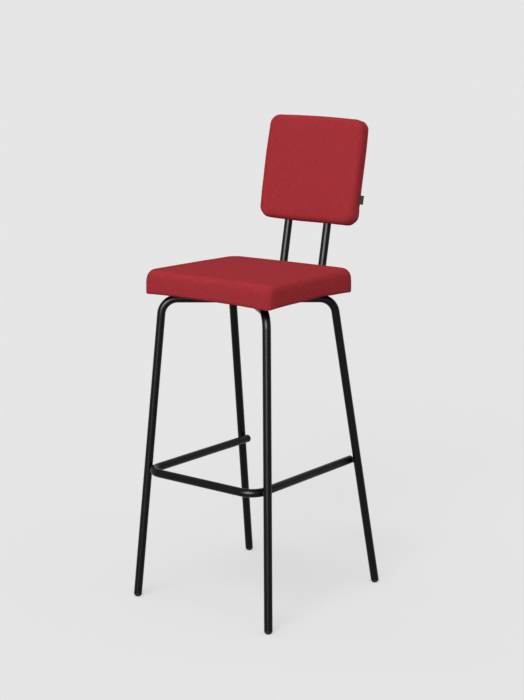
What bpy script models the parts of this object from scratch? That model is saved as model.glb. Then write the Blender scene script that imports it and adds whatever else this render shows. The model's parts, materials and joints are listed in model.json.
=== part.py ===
"""Bar stool: a welded frame of bent round tube that carries an upholstered seat and backrest.

Metres, +Z up, +Y towards the back. The crossing tubes meet over the frame's own zero point, and
the whole stool hangs on one empty that is moved until the middle of its box stands on the origin.
"""

from math import atan2, cos, hypot, pi, radians, sin, sqrt, tan

import bmesh
import bpy
from mathutils import Matrix, Vector

# Clearances
FIT_GAP = 0.0003
CUT_OVERRUN = 0.006
MERGE_DISTANCE = 0.00001

# Steel tube, the same for legs, footrest and posts
TUBE_RADIUS = 0.0095
TUBE_WALL = 0.0015
BEND_RADIUS = 0.038

# Crossing tubes under the seat, to the corners where their centre lines would meet the legs
TOP_TUBE_HEIGHT = 0.7128
TOP_HALF_WIDTH = 0.1482
TOP_HALF_DEPTH = 0.1276

# Feet, where the legs' centre lines meet the floor
FOOT_HALF_WIDTH = 0.1930
FRONT_FOOT_REACH = 0.1685
REAR_FOOT_REACH = 0.2643

# Glide in the lower end of each leg
GLIDE_HEAD_HEIGHT = 0.0085
GLIDE_DOME_HEIGHT = 0.0075
GLIDE_FLAT_DEPTH = 0.0007
GLIDE_SHANK_LENGTH = 0.014
GLIDE_LEAD_IN = 0.0015

# Footrest
FOOTREST_HEIGHT = 0.3152
FOOTREST_REACH = 0.1745
FOOTREST_END_INSET = 0.0020
PLUG_DOME_HEIGHT = 0.0035
PLUG_SHANK_LENGTH = 0.012

# Back posts
POST_HALF_SPACING = 0.0562
POST_LEAN = radians(10.67)
POST_CORNER_REACH = 0.2009
POST_END_ABOVE_BACK_MIDDLE = 0.0520

# Seat cushion
SEAT_HALF_WIDTH = 0.1786
SEAT_HALF_DEPTH = 0.1670
SEAT_MIDDLE_REACH = 0.0037
SEAT_HEIGHT = 0.0502
SEAT_CORNER_RADIUS = 0.0217
SEAT_TOP_EDGE_RADIUS = 0.0145
SEAT_BOTTOM_EDGE_RADIUS = 0.0064
SEAT_CROWN = 0.0045
SEAT_CORNER_DROOP = 0.0012
SEAT_COVER_THICKNESS = 0.0012
SEAT_COVER_TURN_UNDER = 0.036

# Seat board and what lies under it
SEAT_BOARD_THICKNESS = 0.012
SEAT_BOARD_INSET = 0.0160
SEAT_BOARD_CORNER_RADIUS = 0.018
DUST_CLOTH_THICKNESS = 0.0006
DUST_CLOTH_INSET = 0.030
DUST_CLOTH_CORNER_RADIUS = 0.008

# Seat tabs on the crossing tubes
TAB_THICKNESS = 0.0040
TAB_LENGTH = 0.032
TAB_INNER_WIDTH = 0.029
TAB_OUTER_WIDTH = 0.008
TAB_CORNER_RADIUS = 0.004
TAB_DISTANCE = 0.125
TAB_SCREW_OFFSET = 0.0185

# Seat fasteners
SEAT_SCREW_RADIUS = 0.0030
SEAT_SCREW_HEAD_RADIUS = 0.0052
SEAT_SCREW_HEAD_HEIGHT = 0.0036
SEAT_WASHER_RADIUS = 0.0065
SEAT_WASHER_THICKNESS = 0.0012
SEAT_NUT_BARREL_RADIUS = 0.0042
SEAT_NUT_FLANGE_RADIUS = 0.0095
SEAT_NUT_FLANGE_THICKNESS = 0.0015

# Backrest cushion, sizes in its own plane before it leans
BACK_HALF_WIDTH = 0.1326
BACK_HALF_HEIGHT = 0.1228
BACK_THICKNESS = 0.0440
BACK_CROWN = 0.0025
BACK_SIDE_BOW = 0.0010
BACK_CORNER_RADIUS = 0.0240
BACK_EDGE_RADIUS = 0.0140
BACK_MIDDLE_HEIGHT = 0.9905
BACK_COVER_THICKNESS = 0.0012

# Inside the backrest
BACK_MIDDLE_BEFORE_POST = 0.0030
BACK_BOARD_THICKNESS = 0.0060
BACK_BOARD_INSET = 0.018
BACK_BOARD_CORNER_RADIUS = 0.016

# Backrest fasteners, the screws placed from the middle of the backrest
BACK_SCREW_RISE = 0.032
BACK_SCREW_DROP = 0.036
BACK_SCREW_RADIUS = 0.0025
BACK_SCREW_HEAD_RADIUS = 0.0045
BACK_SCREW_HEAD_HEIGHT = 0.0028
BACK_NUT_BARREL_RADIUS = 0.0036
BACK_NUT_FLANGE_RADIUS = 0.0080
BACK_NUT_FLANGE_THICKNESS = 0.0012

# Fabric tab sewn into the backrest's side seam
SEAM_TAB_HEIGHT = 0.021
SEAM_TAB_REACH = 0.0090
SEAM_TAB_THICKNESS = 0.0010
SEAM_TAB_RISE = 0.049
SEAM_TAB_BEHIND_MIDDLE = 0.0060

# Socket in a screw's head, as shares of the screw's radius and of the head's height
SOCKET_RADIUS_SHARE = 0.66
SOCKET_DEPTH_SHARE = 0.6

# Counts that set how finely round shapes are cut
TUBE_RING_STEPS = 4
BEND_STEPS = 6
GLIDE_SIDES = 16
SMALL_SIDES = 12
CORNER_STEPS = 4
SMOOTH_ANGLE = radians(40)

# Where the lines of a cushion's cage lie, from the middle to the edge
CAGE_LINE_SHARES = (0.0, 0.72, 0.93, 1.0)
CAGE_RING_SHARES = (1.0, 0.70, 0.28, 0.0)

LEFT_RIGHT = (("left", -1), ("right", 1))
CORNERS = (
    ("front_left", -1, -1),
    ("front_right", 1, -1),
    ("rear_left", -1, 1),
    ("rear_right", 1, 1),
)


def clear_scene():
    for item in list(bpy.data.objects):
        bpy.data.objects.remove(item, do_unlink=True)


def new_collection(name):
    collection = bpy.data.collections.new(name)
    bpy.context.scene.collection.children.link(collection)
    return collection


def material(name, colour, roughness, metallic=0.0):
    made = bpy.data.materials.new(name)
    made.use_nodes = True
    shader = made.node_tree.nodes["Principled BSDF"]
    shader.inputs["Base Color"].default_value = (*colour, 1.0)
    shader.inputs["Roughness"].default_value = roughness
    shader.inputs["Metallic"].default_value = metallic
    made.diffuse_color = (*colour, 1.0)
    return made


clear_scene()
PARTS = new_collection("bar_stool")
CUTTERS = new_collection("cutters")
ORIGIN = bpy.data.objects.new("stool_origin", None)
PARTS.objects.link(ORIGIN)

POWDER_COAT = material("black_powder_coat", (0.012, 0.012, 0.012), 0.45)
BLACK_PLASTIC = material("black_plastic", (0.010, 0.010, 0.010), 0.50)
RED_CLOTH = material("red_woven_cloth", (0.36, 0.035, 0.042), 0.90)
BLACK_CLOTH = material("black_dust_cloth", (0.014, 0.014, 0.014), 0.95)
SEAM_TAB_CLOTH = material("dark_tape", (0.028, 0.026, 0.030), 0.85)
PLYWOOD = material("birch_plywood", (0.56, 0.40, 0.24), 0.65)
FOAM = material("cushion_foam", (0.75, 0.70, 0.55), 0.95)
ZINC = material("zinc_plated_steel", (0.62, 0.63, 0.65), 0.35, 1.0)


def add_part(name, data, finish, placed=Matrix()):
    part = bpy.data.objects.new(name, data)
    PARTS.objects.link(part)
    part.parent = ORIGIN
    part.matrix_local = placed
    data.materials.append(finish)
    return part


def add_cutter(name, data, placed=Matrix()):
    cutter = bpy.data.objects.new(name, data)
    CUTTERS.objects.link(cutter)
    cutter.parent = ORIGIN
    cutter.matrix_local = placed
    cutter.hide_render = True
    cutter.display_type = "WIRE"
    return cutter


def cut(part, cutter):
    boolean = part.modifiers.new(f"cut by {cutter.name}", "BOOLEAN")
    boolean.operation = "DIFFERENCE"
    boolean.solver = "EXACT"
    boolean.object = cutter


def shade_round(mesh):
    mesh.shade_smooth()
    mesh.set_sharp_from_angle(angle=SMOOTH_ANGLE)


def mesh_from_curve(curve_object):
    """The curve's evaluated shape as a welded mesh; the curve object goes."""
    bpy.context.view_layer.update()
    graph = bpy.context.evaluated_depsgraph_get()
    mesh = bpy.data.meshes.new_from_object(curve_object.evaluated_get(graph), depsgraph=graph)
    welded = bmesh.new()
    welded.from_mesh(mesh)
    bmesh.ops.remove_doubles(welded, verts=welded.verts, dist=MERGE_DISTANCE)
    welded.to_mesh(mesh)
    welded.free()
    shade_round(mesh)
    return mesh


def as_mesh_part(curve_object):
    """Replaces a curve part by a mesh part of the same name, so that it can be cut."""
    name = curve_object.name
    placed = curve_object.matrix_basis.copy()
    finish = curve_object.data.materials[0]
    mesh = mesh_from_curve(curve_object)
    mesh.materials.clear()
    bpy.data.objects.remove(curve_object, do_unlink=True)
    return add_part(name, mesh, finish, placed)


def bend_path(corners, radius):
    """Points along straight runs between the corners, with an arc at each inner corner."""
    points = [corners[0]]
    for before, corner, after in zip(corners, corners[1:], corners[2:]):
        to_before = (before - corner).normalized()
        to_after = (after - corner).normalized()
        half_angle = to_before.angle(to_after) / 2
        middle = corner + (to_before + to_after).normalized() * (radius / sin(half_angle))
        start = corner + to_before * (radius / tan(half_angle))
        arm = start - middle
        turn_axis = to_after.cross(to_before)
        turn = pi - 2 * half_angle
        for step in range(BEND_STEPS + 1):
            points.append(middle + Matrix.Rotation(turn * step / BEND_STEPS, 3, turn_axis) @ arm)
    points.append(corners[-1])
    return points


def round_bar(name, points, radius, capped):
    """A round bar or an open pipe surface along the points."""
    data = bpy.data.curves.new(name, "CURVE")
    data.dimensions = "3D"
    data.bevel_depth = radius
    data.bevel_resolution = TUBE_RING_STEPS
    data.render_resolution_u = 0
    data.use_fill_caps = capped
    spline = data.splines.new("POLY")
    spline.points.add(len(points) - 1)
    for spot, point in zip(spline.points, points):
        spot.co = (*point, 1.0)
    return data


def tube(name, points):
    """A steel tube with open ends, its wall built inwards from the outer surface."""
    part = add_part(name, round_bar(name, points, TUBE_RADIUS, False), POWDER_COAT)
    wall = part.modifiers.new("tube wall", "SOLIDIFY")
    wall.thickness = TUBE_WALL
    wall.offset = -1
    return part


def cope_cutter(name, start, end):
    """A round bar that shapes a tube's end to fit the side of the tube it meets."""
    bar = round_bar(name, [start, end], TUBE_RADIUS + FIT_GAP, True)
    # The cutter's flats lie inside its circle, so it is widened until they clear the gap.
    bar.bevel_depth /= cos(pi / (2 * (TUBE_RING_STEPS + 2)))
    shape = bpy.data.objects.new(name, bar)
    CUTTERS.objects.link(shape)
    mesh = mesh_from_curve(shape)
    bpy.data.objects.remove(shape, do_unlink=True)
    return add_cutter(name, mesh)


def turned(profile):
    """A mesh turned about Z from (radius, height) points that run down the outer side."""
    mesh = bpy.data.meshes.new("turned")
    outline = [(radius, 0.0, height) for radius, height in profile]
    links = [(index, index + 1) for index in range(len(outline) - 1)]
    if profile[0][0] > 0:
        links.append((len(outline) - 1, 0))
    mesh.from_pydata(outline, links, [])
    return mesh


def add_screw_modifier(item, sides):
    turn = item.modifiers.new("turn", "SCREW")
    turn.axis = "Z"
    turn.angle = 2 * pi
    turn.steps = sides
    turn.render_steps = sides
    turn.use_merge_vertices = True
    turn.merge_threshold = MERGE_DISTANCE
    turn.use_smooth_shade = True


def turned_part(name, profile, sides, finish, placed):
    part = add_part(name, turned(profile), finish, placed)
    add_screw_modifier(part, sides)
    return part


def turned_cutter(name, profile, sides, placed):
    cutter = add_cutter(name, turned(profile), placed)
    add_screw_modifier(cutter, sides)
    return cutter


def rounded_outline(half_x, half_y, radius):
    """Corner points of a rectangle with round corners, counter-clockwise."""
    points = []
    for quarter, (side_x, side_y) in enumerate(((1, 1), (-1, 1), (-1, -1), (1, -1))):
        for step in range(CORNER_STEPS + 1):
            angle = (quarter + step / CORNER_STEPS) * pi / 2
            points.append((
                side_x * (half_x - radius) + radius * cos(angle),
                side_y * (half_y - radius) + radius * sin(angle),
            ))
    return points


def circle_outline(middle_x, middle_y, radius):
    points = []
    for step in range(SMALL_SIDES):
        angle = 2 * pi * step / SMALL_SIDES
        points.append((middle_x + radius * cos(angle), middle_y + radius * sin(angle)))
    return points


def box_cutter(name, low, high, placed=Matrix()):
    """A box between two corners."""
    box = bmesh.new()
    bmesh.ops.create_cube(box, size=1.0)
    middle = (low + high) / 2
    size = high - low
    for vert in box.verts:
        vert.co = middle + vert.co * size
    mesh = bpy.data.meshes.new(name)
    box.to_mesh(mesh)
    box.free()
    return add_cutter(name, mesh, placed)


def flat_plate(name, outlines, thickness, finish, placed):
    """A plate from closed outlines, the first its edge and the others its holes."""
    data = bpy.data.curves.new(name, "CURVE")
    data.dimensions = "2D"
    data.fill_mode = "BOTH"
    data.extrude = thickness / 2
    for outline in outlines:
        spline = data.splines.new("POLY")
        spline.use_cyclic_u = True
        spline.points.add(len(outline) - 1)
        for spot, (x, y) in zip(spline.points, outline):
            spot.co = (x, y, 0.0, 1.0)
    return add_part(name, data, finish, placed)


def axis_frame(place, up):
    """A frame at a place with its Z along up."""
    return Matrix.Translation(place) @ up.to_track_quat("Z", "Y").to_matrix().to_4x4()


def round_off(first, second, radius):
    """Moves two distances from a sharp edge onto an arc of the radius."""
    if first >= radius or second >= radius:
        return first, second
    across = radius - first
    along = radius - second
    length = hypot(across, along)
    if length == 0:
        return first, second
    shrink = max(across, along) / length
    return radius - across * shrink, radius - along * shrink


def cushion_cage(half_x, half_y, height, corner_radius, top_radius, bottom_radius):
    """A box cage from z 0 to height whose plan corners and whose edges are drawn in round."""
    cage = bmesh.new()
    lines = len(CAGE_LINE_SHARES) - 1
    top = bmesh.ops.create_grid(cage, x_segments=2 * lines, y_segments=2 * lines, size=1.0)
    rim = [edge for edge in cage.edges if edge.is_boundary]
    bottom = bmesh.ops.duplicate(cage, geom=cage.faces[:])
    bottom_faces = [item for item in bottom["geom"] if isinstance(item, bmesh.types.BMFace)]
    bottom_verts = [item for item in bottom["geom"] if isinstance(item, bmesh.types.BMVert)]
    for vert in top["verts"]:
        vert.co.z = 1.0
    for vert in bottom_verts:
        vert.co.z = 0.0
    bmesh.ops.reverse_faces(cage, faces=bottom_faces)
    for share in CAGE_RING_SHARES[1:]:
        ring = bmesh.ops.extrude_edge_only(cage, edges=rim)["geom"]
        rim = [item for item in ring if isinstance(item, bmesh.types.BMEdge)]
        for vert in {vert for edge in rim for vert in edge.verts}:
            vert.co.z = share
        rim = [edge for edge in rim if edge.is_boundary]
    bmesh.ops.remove_doubles(cage, verts=cage.verts, dist=MERGE_DISTANCE)
    bmesh.ops.recalc_face_normals(cage, faces=cage.faces)

    for vert in cage.verts:
        x = cage_share(vert.co.x) * half_x
        y = cage_share(vert.co.y) * half_y
        inset = min(half_x - abs(x), half_y - abs(y))
        from_top = height * (1 - vert.co.z)
        drawn, from_top = round_off(inset, from_top, top_radius)
        drawn, from_bottom = round_off(drawn, height - from_top, bottom_radius)
        if drawn != inset:
            x *= (half_x - drawn) / (half_x - inset)
            y *= (half_y - drawn) / (half_y - inset)
        side_x, side_y = round_off(
            half_x - drawn - abs(x), half_y - drawn - abs(y), max(corner_radius - drawn, 0))
        vert.co.x = (half_x - drawn - side_x) * (1 if x > 0 else -1)
        vert.co.y = (half_y - drawn - side_y) * (1 if y > 0 else -1)
        vert.co.z = from_bottom
    return cage


def cage_share(unit):
    """The share of the half size at which a line of the even unit grid is placed."""
    lines = len(CAGE_LINE_SHARES) - 1
    share = CAGE_LINE_SHARES[round(abs(unit) * lines)]
    return share if unit > 0 else -share


def finish_cage(cage, name):
    mesh = bpy.data.meshes.new(name)
    cage.to_mesh(mesh)
    cage.free()
    mesh.shade_smooth()
    return mesh


def add_softening(part):
    soften = part.modifiers.new("soft form", "SUBSURF")
    soften.levels = 1
    soften.render_levels = 1


def add_cover_skin(part, thickness):
    skin = part.modifiers.new("cover skin", "SOLIDIFY")
    skin.thickness = thickness
    skin.offset = -1


# Places worked out from the driving sizes
FLOOR_HEIGHT = 0.0
TAB_BOTTOM = TOP_TUBE_HEIGHT + TUBE_RADIUS + FIT_GAP
CLOTH_BOTTOM = TAB_BOTTOM + TAB_THICKNESS + FIT_GAP
SEAT_BOTTOM = CLOTH_BOTTOM + DUST_CLOTH_THICKNESS + FIT_GAP
SEAT_BOARD_BOTTOM = SEAT_BOTTOM + SEAT_COVER_THICKNESS + FIT_GAP
SEAT_BOARD_TOP = SEAT_BOARD_BOTTOM + SEAT_BOARD_THICKNESS
SEAT_MIDDLE = Vector((0, SEAT_MIDDLE_REACH, 0))
DIAGONAL_ANGLE = atan2(TOP_HALF_DEPTH, TOP_HALF_WIDTH)


def top_corner(side_x, side_y):
    return Vector((side_x * TOP_HALF_WIDTH, side_y * TOP_HALF_DEPTH, TOP_TUBE_HEIGHT))


def foot_point(side_x, side_y):
    reach = -FRONT_FOOT_REACH if side_y < 0 else REAR_FOOT_REACH
    return Vector((side_x * FOOT_HALF_WIDTH, reach, FLOOR_HEIGHT))


def leg_direction(side_x, side_y):
    return (top_corner(side_x, side_y) - foot_point(side_x, side_y)).normalized()


def leg_end(side_x, side_y):
    """Where the tube stops, above the head of its glide."""
    head = GLIDE_HEAD_HEIGHT + FIT_GAP
    return foot_point(side_x, side_y) + leg_direction(side_x, side_y) * head


def leg_point_at(side_x, side_y, height):
    """The leg's centre line at a height."""
    share = height / TOP_TUBE_HEIGHT
    return foot_point(side_x, side_y).lerp(top_corner(side_x, side_y), share)


def build_legs():
    """One loop runs through, and the other is two halves coped against it at the crossing."""
    through = [leg_end(-1, -1), top_corner(-1, -1), top_corner(1, 1), leg_end(1, 1)]
    tube("through_leg_loop", bend_path(through, BEND_RADIUS))
    crossing = Vector((0, 0, TOP_TUBE_HEIGHT))
    along_through = (top_corner(1, 1) - top_corner(-1, -1)).normalized() * (3 * TUBE_RADIUS)
    cutter = cope_cutter("through_loop_cutter", crossing - along_through, crossing + along_through)
    for name, side_x, side_y in (("front_right_half_loop", 1, -1), ("rear_left_half_loop", -1, 1)):
        half = [leg_end(side_x, side_y), top_corner(side_x, side_y), crossing]
        cut(as_mesh_part(tube(name, bend_path(half, BEND_RADIUS))), cutter)


def build_glides():
    """A domed plastic foot with a shank inside the tube, cut flat where it meets the floor."""
    shank_radius = TUBE_RADIUS - TUBE_WALL - FIT_GAP
    reach = 2 * (FOOT_HALF_WIDTH + REAR_FOOT_REACH)
    floor_cutter = box_cutter(
        "floor_cutter",
        Vector((-reach, -reach, FLOOR_HEIGHT - CUT_OVERRUN)), Vector((reach, reach, FLOOR_HEIGHT)))
    profile = [
        (0.0, GLIDE_HEAD_HEIGHT + GLIDE_SHANK_LENGTH),
        (shank_radius - GLIDE_LEAD_IN, GLIDE_HEAD_HEIGHT + GLIDE_SHANK_LENGTH),
        (shank_radius, GLIDE_HEAD_HEIGHT + GLIDE_SHANK_LENGTH - GLIDE_LEAD_IN),
        (shank_radius, GLIDE_HEAD_HEIGHT),
        (TUBE_RADIUS, GLIDE_HEAD_HEIGHT),
    ]
    dome_steps = GLIDE_SIDES // 4
    for step in range(dome_steps + 1):
        angle = pi / 2 * step / dome_steps
        drop = (GLIDE_DOME_HEIGHT + GLIDE_FLAT_DEPTH) * sin(angle)
        profile.append((TUBE_RADIUS * cos(angle), GLIDE_DOME_HEIGHT - drop))
    profile[-1] = (0.0, -GLIDE_FLAT_DEPTH)
    for name, side_x, side_y in CORNERS:
        placed = axis_frame(foot_point(side_x, side_y), leg_direction(side_x, side_y))
        glide = turned_part(f"glide_{name}", profile, GLIDE_SIDES, BLACK_PLASTIC, placed)
        cut(glide, floor_cutter)


def footrest_sides():
    """Half widths of the footrest where it bends at the front and where it ends at the rear.

    Both are set by the legs: each bend lies against a front leg and each end against a rear leg.
    """
    touch = 2 * TUBE_RADIUS + FIT_GAP
    front_leg = leg_point_at(1, -1, FOOTREST_HEIGHT)
    rear_leg = leg_point_at(1, 1, FOOTREST_HEIGHT)
    past_bend_middle = -FOOTREST_REACH + BEND_RADIUS - front_leg.y
    from_bend_middle = sqrt((BEND_RADIUS + touch) ** 2 - past_bend_middle ** 2)
    front_half = front_leg.x - from_bend_middle + BEND_RADIUS
    return front_half, rear_leg.x - touch, rear_leg.y - FOOTREST_END_INSET


def build_footrest():
    front_half, rear_half, end_reach = footrest_sides()
    corners = [
        Vector((-rear_half, end_reach, FOOTREST_HEIGHT)),
        Vector((-front_half, -FOOTREST_REACH, FOOTREST_HEIGHT)),
        Vector((front_half, -FOOTREST_REACH, FOOTREST_HEIGHT)),
        Vector((rear_half, end_reach, FOOTREST_HEIGHT)),
    ]
    tube("footrest", bend_path(corners, BEND_RADIUS))
    out_left = (corners[0] - corners[1]).normalized()
    out_right = (corners[3] - corners[2]).normalized()
    build_plug("footrest_plug_left", corners[0], out_left)
    build_plug("footrest_plug_right", corners[3], out_right)


def build_plug(name, tube_end, outward):
    """A domed plug in a tube's open end."""
    shank_radius = TUBE_RADIUS - TUBE_WALL - FIT_GAP
    dome_steps = GLIDE_SIDES // 4
    profile = []
    for step in range(dome_steps + 1):
        angle = pi / 2 * (1 - step / dome_steps)
        profile.append((TUBE_RADIUS * cos(angle), FIT_GAP + PLUG_DOME_HEIGHT * sin(angle)))
    profile[0] = (0.0, FIT_GAP + PLUG_DOME_HEIGHT)
    profile += [
        (shank_radius, FIT_GAP),
        (shank_radius, -PLUG_SHANK_LENGTH),
        (0.0, -PLUG_SHANK_LENGTH),
    ]
    turned_part(name, profile, GLIDE_SIDES, BLACK_PLASTIC, axis_frame(tube_end, outward))


POST_UP = Vector((0, sin(POST_LEAN), cos(POST_LEAN)))
BACK_OUT = Vector((0, cos(POST_LEAN), -sin(POST_LEAN)))
BACK_MIDDLE_ALONG_POST = (BACK_MIDDLE_HEIGHT - TOP_TUBE_HEIGHT) / cos(POST_LEAN)

# Distances of the back board's two faces before the posts' centre lines
BACK_BOARD_NEAR = TUBE_RADIUS + FIT_GAP
BACK_BOARD_FAR = BACK_BOARD_NEAR + BACK_BOARD_THICKNESS


def post_corner(side):
    return Vector((side * POST_HALF_SPACING, POST_CORNER_REACH, TOP_TUBE_HEIGHT))


def build_posts():
    """Each post starts coped against a crossing tube, turns up behind the seat and leans back."""
    meets_reach = POST_HALF_SPACING * tan(DIAGONAL_ANGLE)
    for name, side in LEFT_RIGHT:
        start = Vector((side * POST_HALF_SPACING, meets_reach, TOP_TUBE_HEIGHT))
        end = post_corner(side) + POST_UP * (BACK_MIDDLE_ALONG_POST + POST_END_ABOVE_BACK_MIDDLE)
        post = as_mesh_part(tube(
            f"back_post_{name}", bend_path([start, post_corner(side), end], BEND_RADIUS)))
        along = (top_corner(side, 1) - top_corner(-side, -1)).normalized() * (3 * TUBE_RADIUS)
        cut(post, cope_cutter(f"post_{name}_cope_cutter", start - along, start + along))
        for level, frame in back_screw_frames(side):
            drill = rod_profile(
                BACK_SCREW_RADIUS + 2 * FIT_GAP, -BACK_BOARD_FAR, TUBE_RADIUS + CUT_OVERRUN)
            cut(post, turned_cutter(f"post_{name}_{level}_cutter", drill, SMALL_SIDES, frame))
        build_plug(f"post_plug_{name}", end, POST_UP)


def rod_profile(radius, bottom, top):
    return [(0.0, top), (radius, top), (radius, bottom), (0.0, bottom)]


def back_frame():
    """The backrest's own frame: X across, Y up its face, Z out of its front."""
    on_posts = post_corner(0) + POST_UP * BACK_MIDDLE_ALONG_POST
    middle = on_posts - BACK_OUT * BACK_MIDDLE_BEFORE_POST
    axes = Matrix((Vector((1, 0, 0)), POST_UP, -BACK_OUT)).transposed()
    return Matrix.Translation(middle) @ axes.to_4x4()


def back_screw_frames(side):
    """Frames on a post's centre line with Z out of the rear, one for each screw."""
    for level, rise in (("lower", -BACK_SCREW_DROP), ("upper", BACK_SCREW_RISE)):
        place = Vector((side * POST_HALF_SPACING, rise, -BACK_MIDDLE_BEFORE_POST))
        yield level, back_frame() @ Matrix.Translation(place) @ Matrix.Rotation(pi, 4, "Y")


def screw_profile(radius, head_radius, head_height, head_seat, tip):
    """A screw with a round-edged head on top and a socket in it."""
    head_top = head_seat + head_height
    rounding = head_height / 2
    socket_radius = radius * SOCKET_RADIUS_SHARE
    socket_bottom = head_top - head_height * SOCKET_DEPTH_SHARE
    return [
        (0.0, socket_bottom), (socket_radius, socket_bottom), (socket_radius, head_top),
        (head_radius - rounding, head_top), (head_radius, head_top - rounding),
        (head_radius, head_seat), (radius, head_seat), (radius, tip), (0.0, tip),
    ]


def tee_nut_profile(bore, barrel_radius, barrel_top, flange_radius, flange_top, flange_bottom):
    """A tee nut with its flange at the bottom, as a ring."""
    return [
        (barrel_radius, barrel_top), (barrel_radius, flange_top), (flange_radius, flange_top),
        (flange_radius, flange_bottom), (bore, flange_bottom), (bore, barrel_top),
    ]


def tee_nut_hole_profile(barrel_radius, flange_radius, flange_top, board_top, board_bottom):
    """The stepped hole in a board that a tee nut sits in."""
    hole = barrel_radius + FIT_GAP
    recess = flange_radius + FIT_GAP
    step = flange_top + FIT_GAP
    return [
        (0.0, board_top + CUT_OVERRUN), (hole, board_top + CUT_OVERRUN), (hole, step),
        (recess, step), (recess, board_bottom - CUT_OVERRUN), (0.0, board_bottom - CUT_OVERRUN),
    ]


def tab_frame(side_x, side_y):
    """A tab's frame: X out along the crossing tube, Y towards its screw, Z up."""
    up = Vector((0, 0, 1))
    out = Vector((side_x * cos(DIAGONAL_ANGLE), side_y * sin(DIAGONAL_ANGLE), 0))
    middle = out * TAB_DISTANCE + up * TAB_BOTTOM
    return Matrix.Translation(middle) @ Matrix((out, up.cross(out), up)).transposed().to_4x4()


def seat_screw_frame(side_x, side_y):
    """A frame under a tab's hole, Z out of the screw's head and zero where the washer rests."""
    return (
        tab_frame(side_x, side_y) @ Matrix.Translation((0, TAB_SCREW_OFFSET, 0))
        @ Matrix.Rotation(pi, 4, "X"))


def build_seat_tabs():
    half_width = (TAB_INNER_WIDTH + TAB_OUTER_WIDTH) / 2
    shift = (TAB_INNER_WIDTH - TAB_OUTER_WIDTH) / 2
    edge = rounded_outline(TAB_LENGTH / 2, half_width, TAB_CORNER_RADIUS)
    edge = [(x, y + shift) for x, y in edge]
    hole = circle_outline(0, TAB_SCREW_OFFSET, SEAT_SCREW_RADIUS + 2 * FIT_GAP)
    for name, side_x, side_y in CORNERS:
        placed = tab_frame(side_x, side_y) @ Matrix.Translation((0, 0, TAB_THICKNESS / 2))
        flat_plate(f"seat_tab_{name}", (edge, hole), TAB_THICKNESS, POWDER_COAT, placed)


# Heights in a seat screw's own frame, which points down
SEAT_NUT_FACE = TAB_BOTTOM - SEAT_BOARD_TOP
SEAT_NUT_FLANGE_TOP = SEAT_NUT_FACE + SEAT_NUT_FLANGE_THICKNESS
SEAT_BOARD_UNDERSIDE = TAB_BOTTOM - SEAT_BOARD_BOTTOM


def build_seat_fasteners():
    bore = SEAT_SCREW_RADIUS + FIT_GAP
    washer_bottom = FIT_GAP
    washer_top = washer_bottom + SEAT_WASHER_THICKNESS
    washer = [
        (SEAT_WASHER_RADIUS, washer_top), (SEAT_WASHER_RADIUS, washer_bottom),
        (bore, washer_bottom), (bore, washer_top),
    ]
    screw = screw_profile(
        SEAT_SCREW_RADIUS, SEAT_SCREW_HEAD_RADIUS, SEAT_SCREW_HEAD_HEIGHT,
        washer_top + FIT_GAP, SEAT_NUT_FACE + FIT_GAP)
    nut = tee_nut_profile(
        bore, SEAT_NUT_BARREL_RADIUS, SEAT_BOARD_UNDERSIDE - FIT_GAP,
        SEAT_NUT_FLANGE_RADIUS, SEAT_NUT_FLANGE_TOP, SEAT_NUT_FACE)
    for name, side_x, side_y in CORNERS:
        placed = seat_screw_frame(side_x, side_y)
        turned_part(f"seat_washer_{name}", washer, SMALL_SIDES, ZINC, placed)
        turned_part(f"seat_screw_{name}", screw, SMALL_SIDES, ZINC, placed)
        turned_part(f"seat_tee_nut_{name}", nut, SMALL_SIDES, ZINC, placed)


def build_seat_board():
    """Plywood with a stepped hole for each tee nut."""
    half_x = SEAT_HALF_WIDTH - SEAT_COVER_THICKNESS - SEAT_BOARD_INSET
    half_y = SEAT_HALF_DEPTH - SEAT_COVER_THICKNESS - SEAT_BOARD_INSET
    middle = SEAT_MIDDLE + Vector((0, 0, (SEAT_BOARD_BOTTOM + SEAT_BOARD_TOP) / 2))
    outline = rounded_outline(half_x, half_y, SEAT_BOARD_CORNER_RADIUS)
    board = as_mesh_part(flat_plate(
        "seat_board", (outline,), SEAT_BOARD_THICKNESS, PLYWOOD, Matrix.Translation(middle)))
    hole = tee_nut_hole_profile(
        SEAT_NUT_BARREL_RADIUS, SEAT_NUT_FLANGE_RADIUS, SEAT_NUT_FLANGE_TOP,
        SEAT_BOARD_UNDERSIDE, SEAT_NUT_FACE)
    for name, side_x, side_y in CORNERS:
        placed = seat_screw_frame(side_x, side_y)
        cut(board, turned_cutter(f"seat_board_{name}_cutter", hole, SMALL_SIDES, placed))


def build_dust_cloth():
    """A thin sheet under the seat that hides the board and the cover's turned-under edge."""
    half_x = SEAT_HALF_WIDTH - DUST_CLOTH_INSET
    half_y = SEAT_HALF_DEPTH - DUST_CLOTH_INSET
    outlines = [rounded_outline(half_x, half_y, DUST_CLOTH_CORNER_RADIUS)]
    for _, side_x, side_y in CORNERS:
        place = seat_screw_frame(side_x, side_y).translation - SEAT_MIDDLE
        outlines.append(circle_outline(place.x, place.y, SEAT_SCREW_RADIUS + 2 * FIT_GAP))
    middle = SEAT_MIDDLE + Vector((0, 0, CLOTH_BOTTOM + DUST_CLOTH_THICKNESS / 2))
    placed = Matrix.Translation(middle)
    flat_plate("seat_dust_cloth", outlines, DUST_CLOTH_THICKNESS, BLACK_CLOTH, placed)


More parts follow.
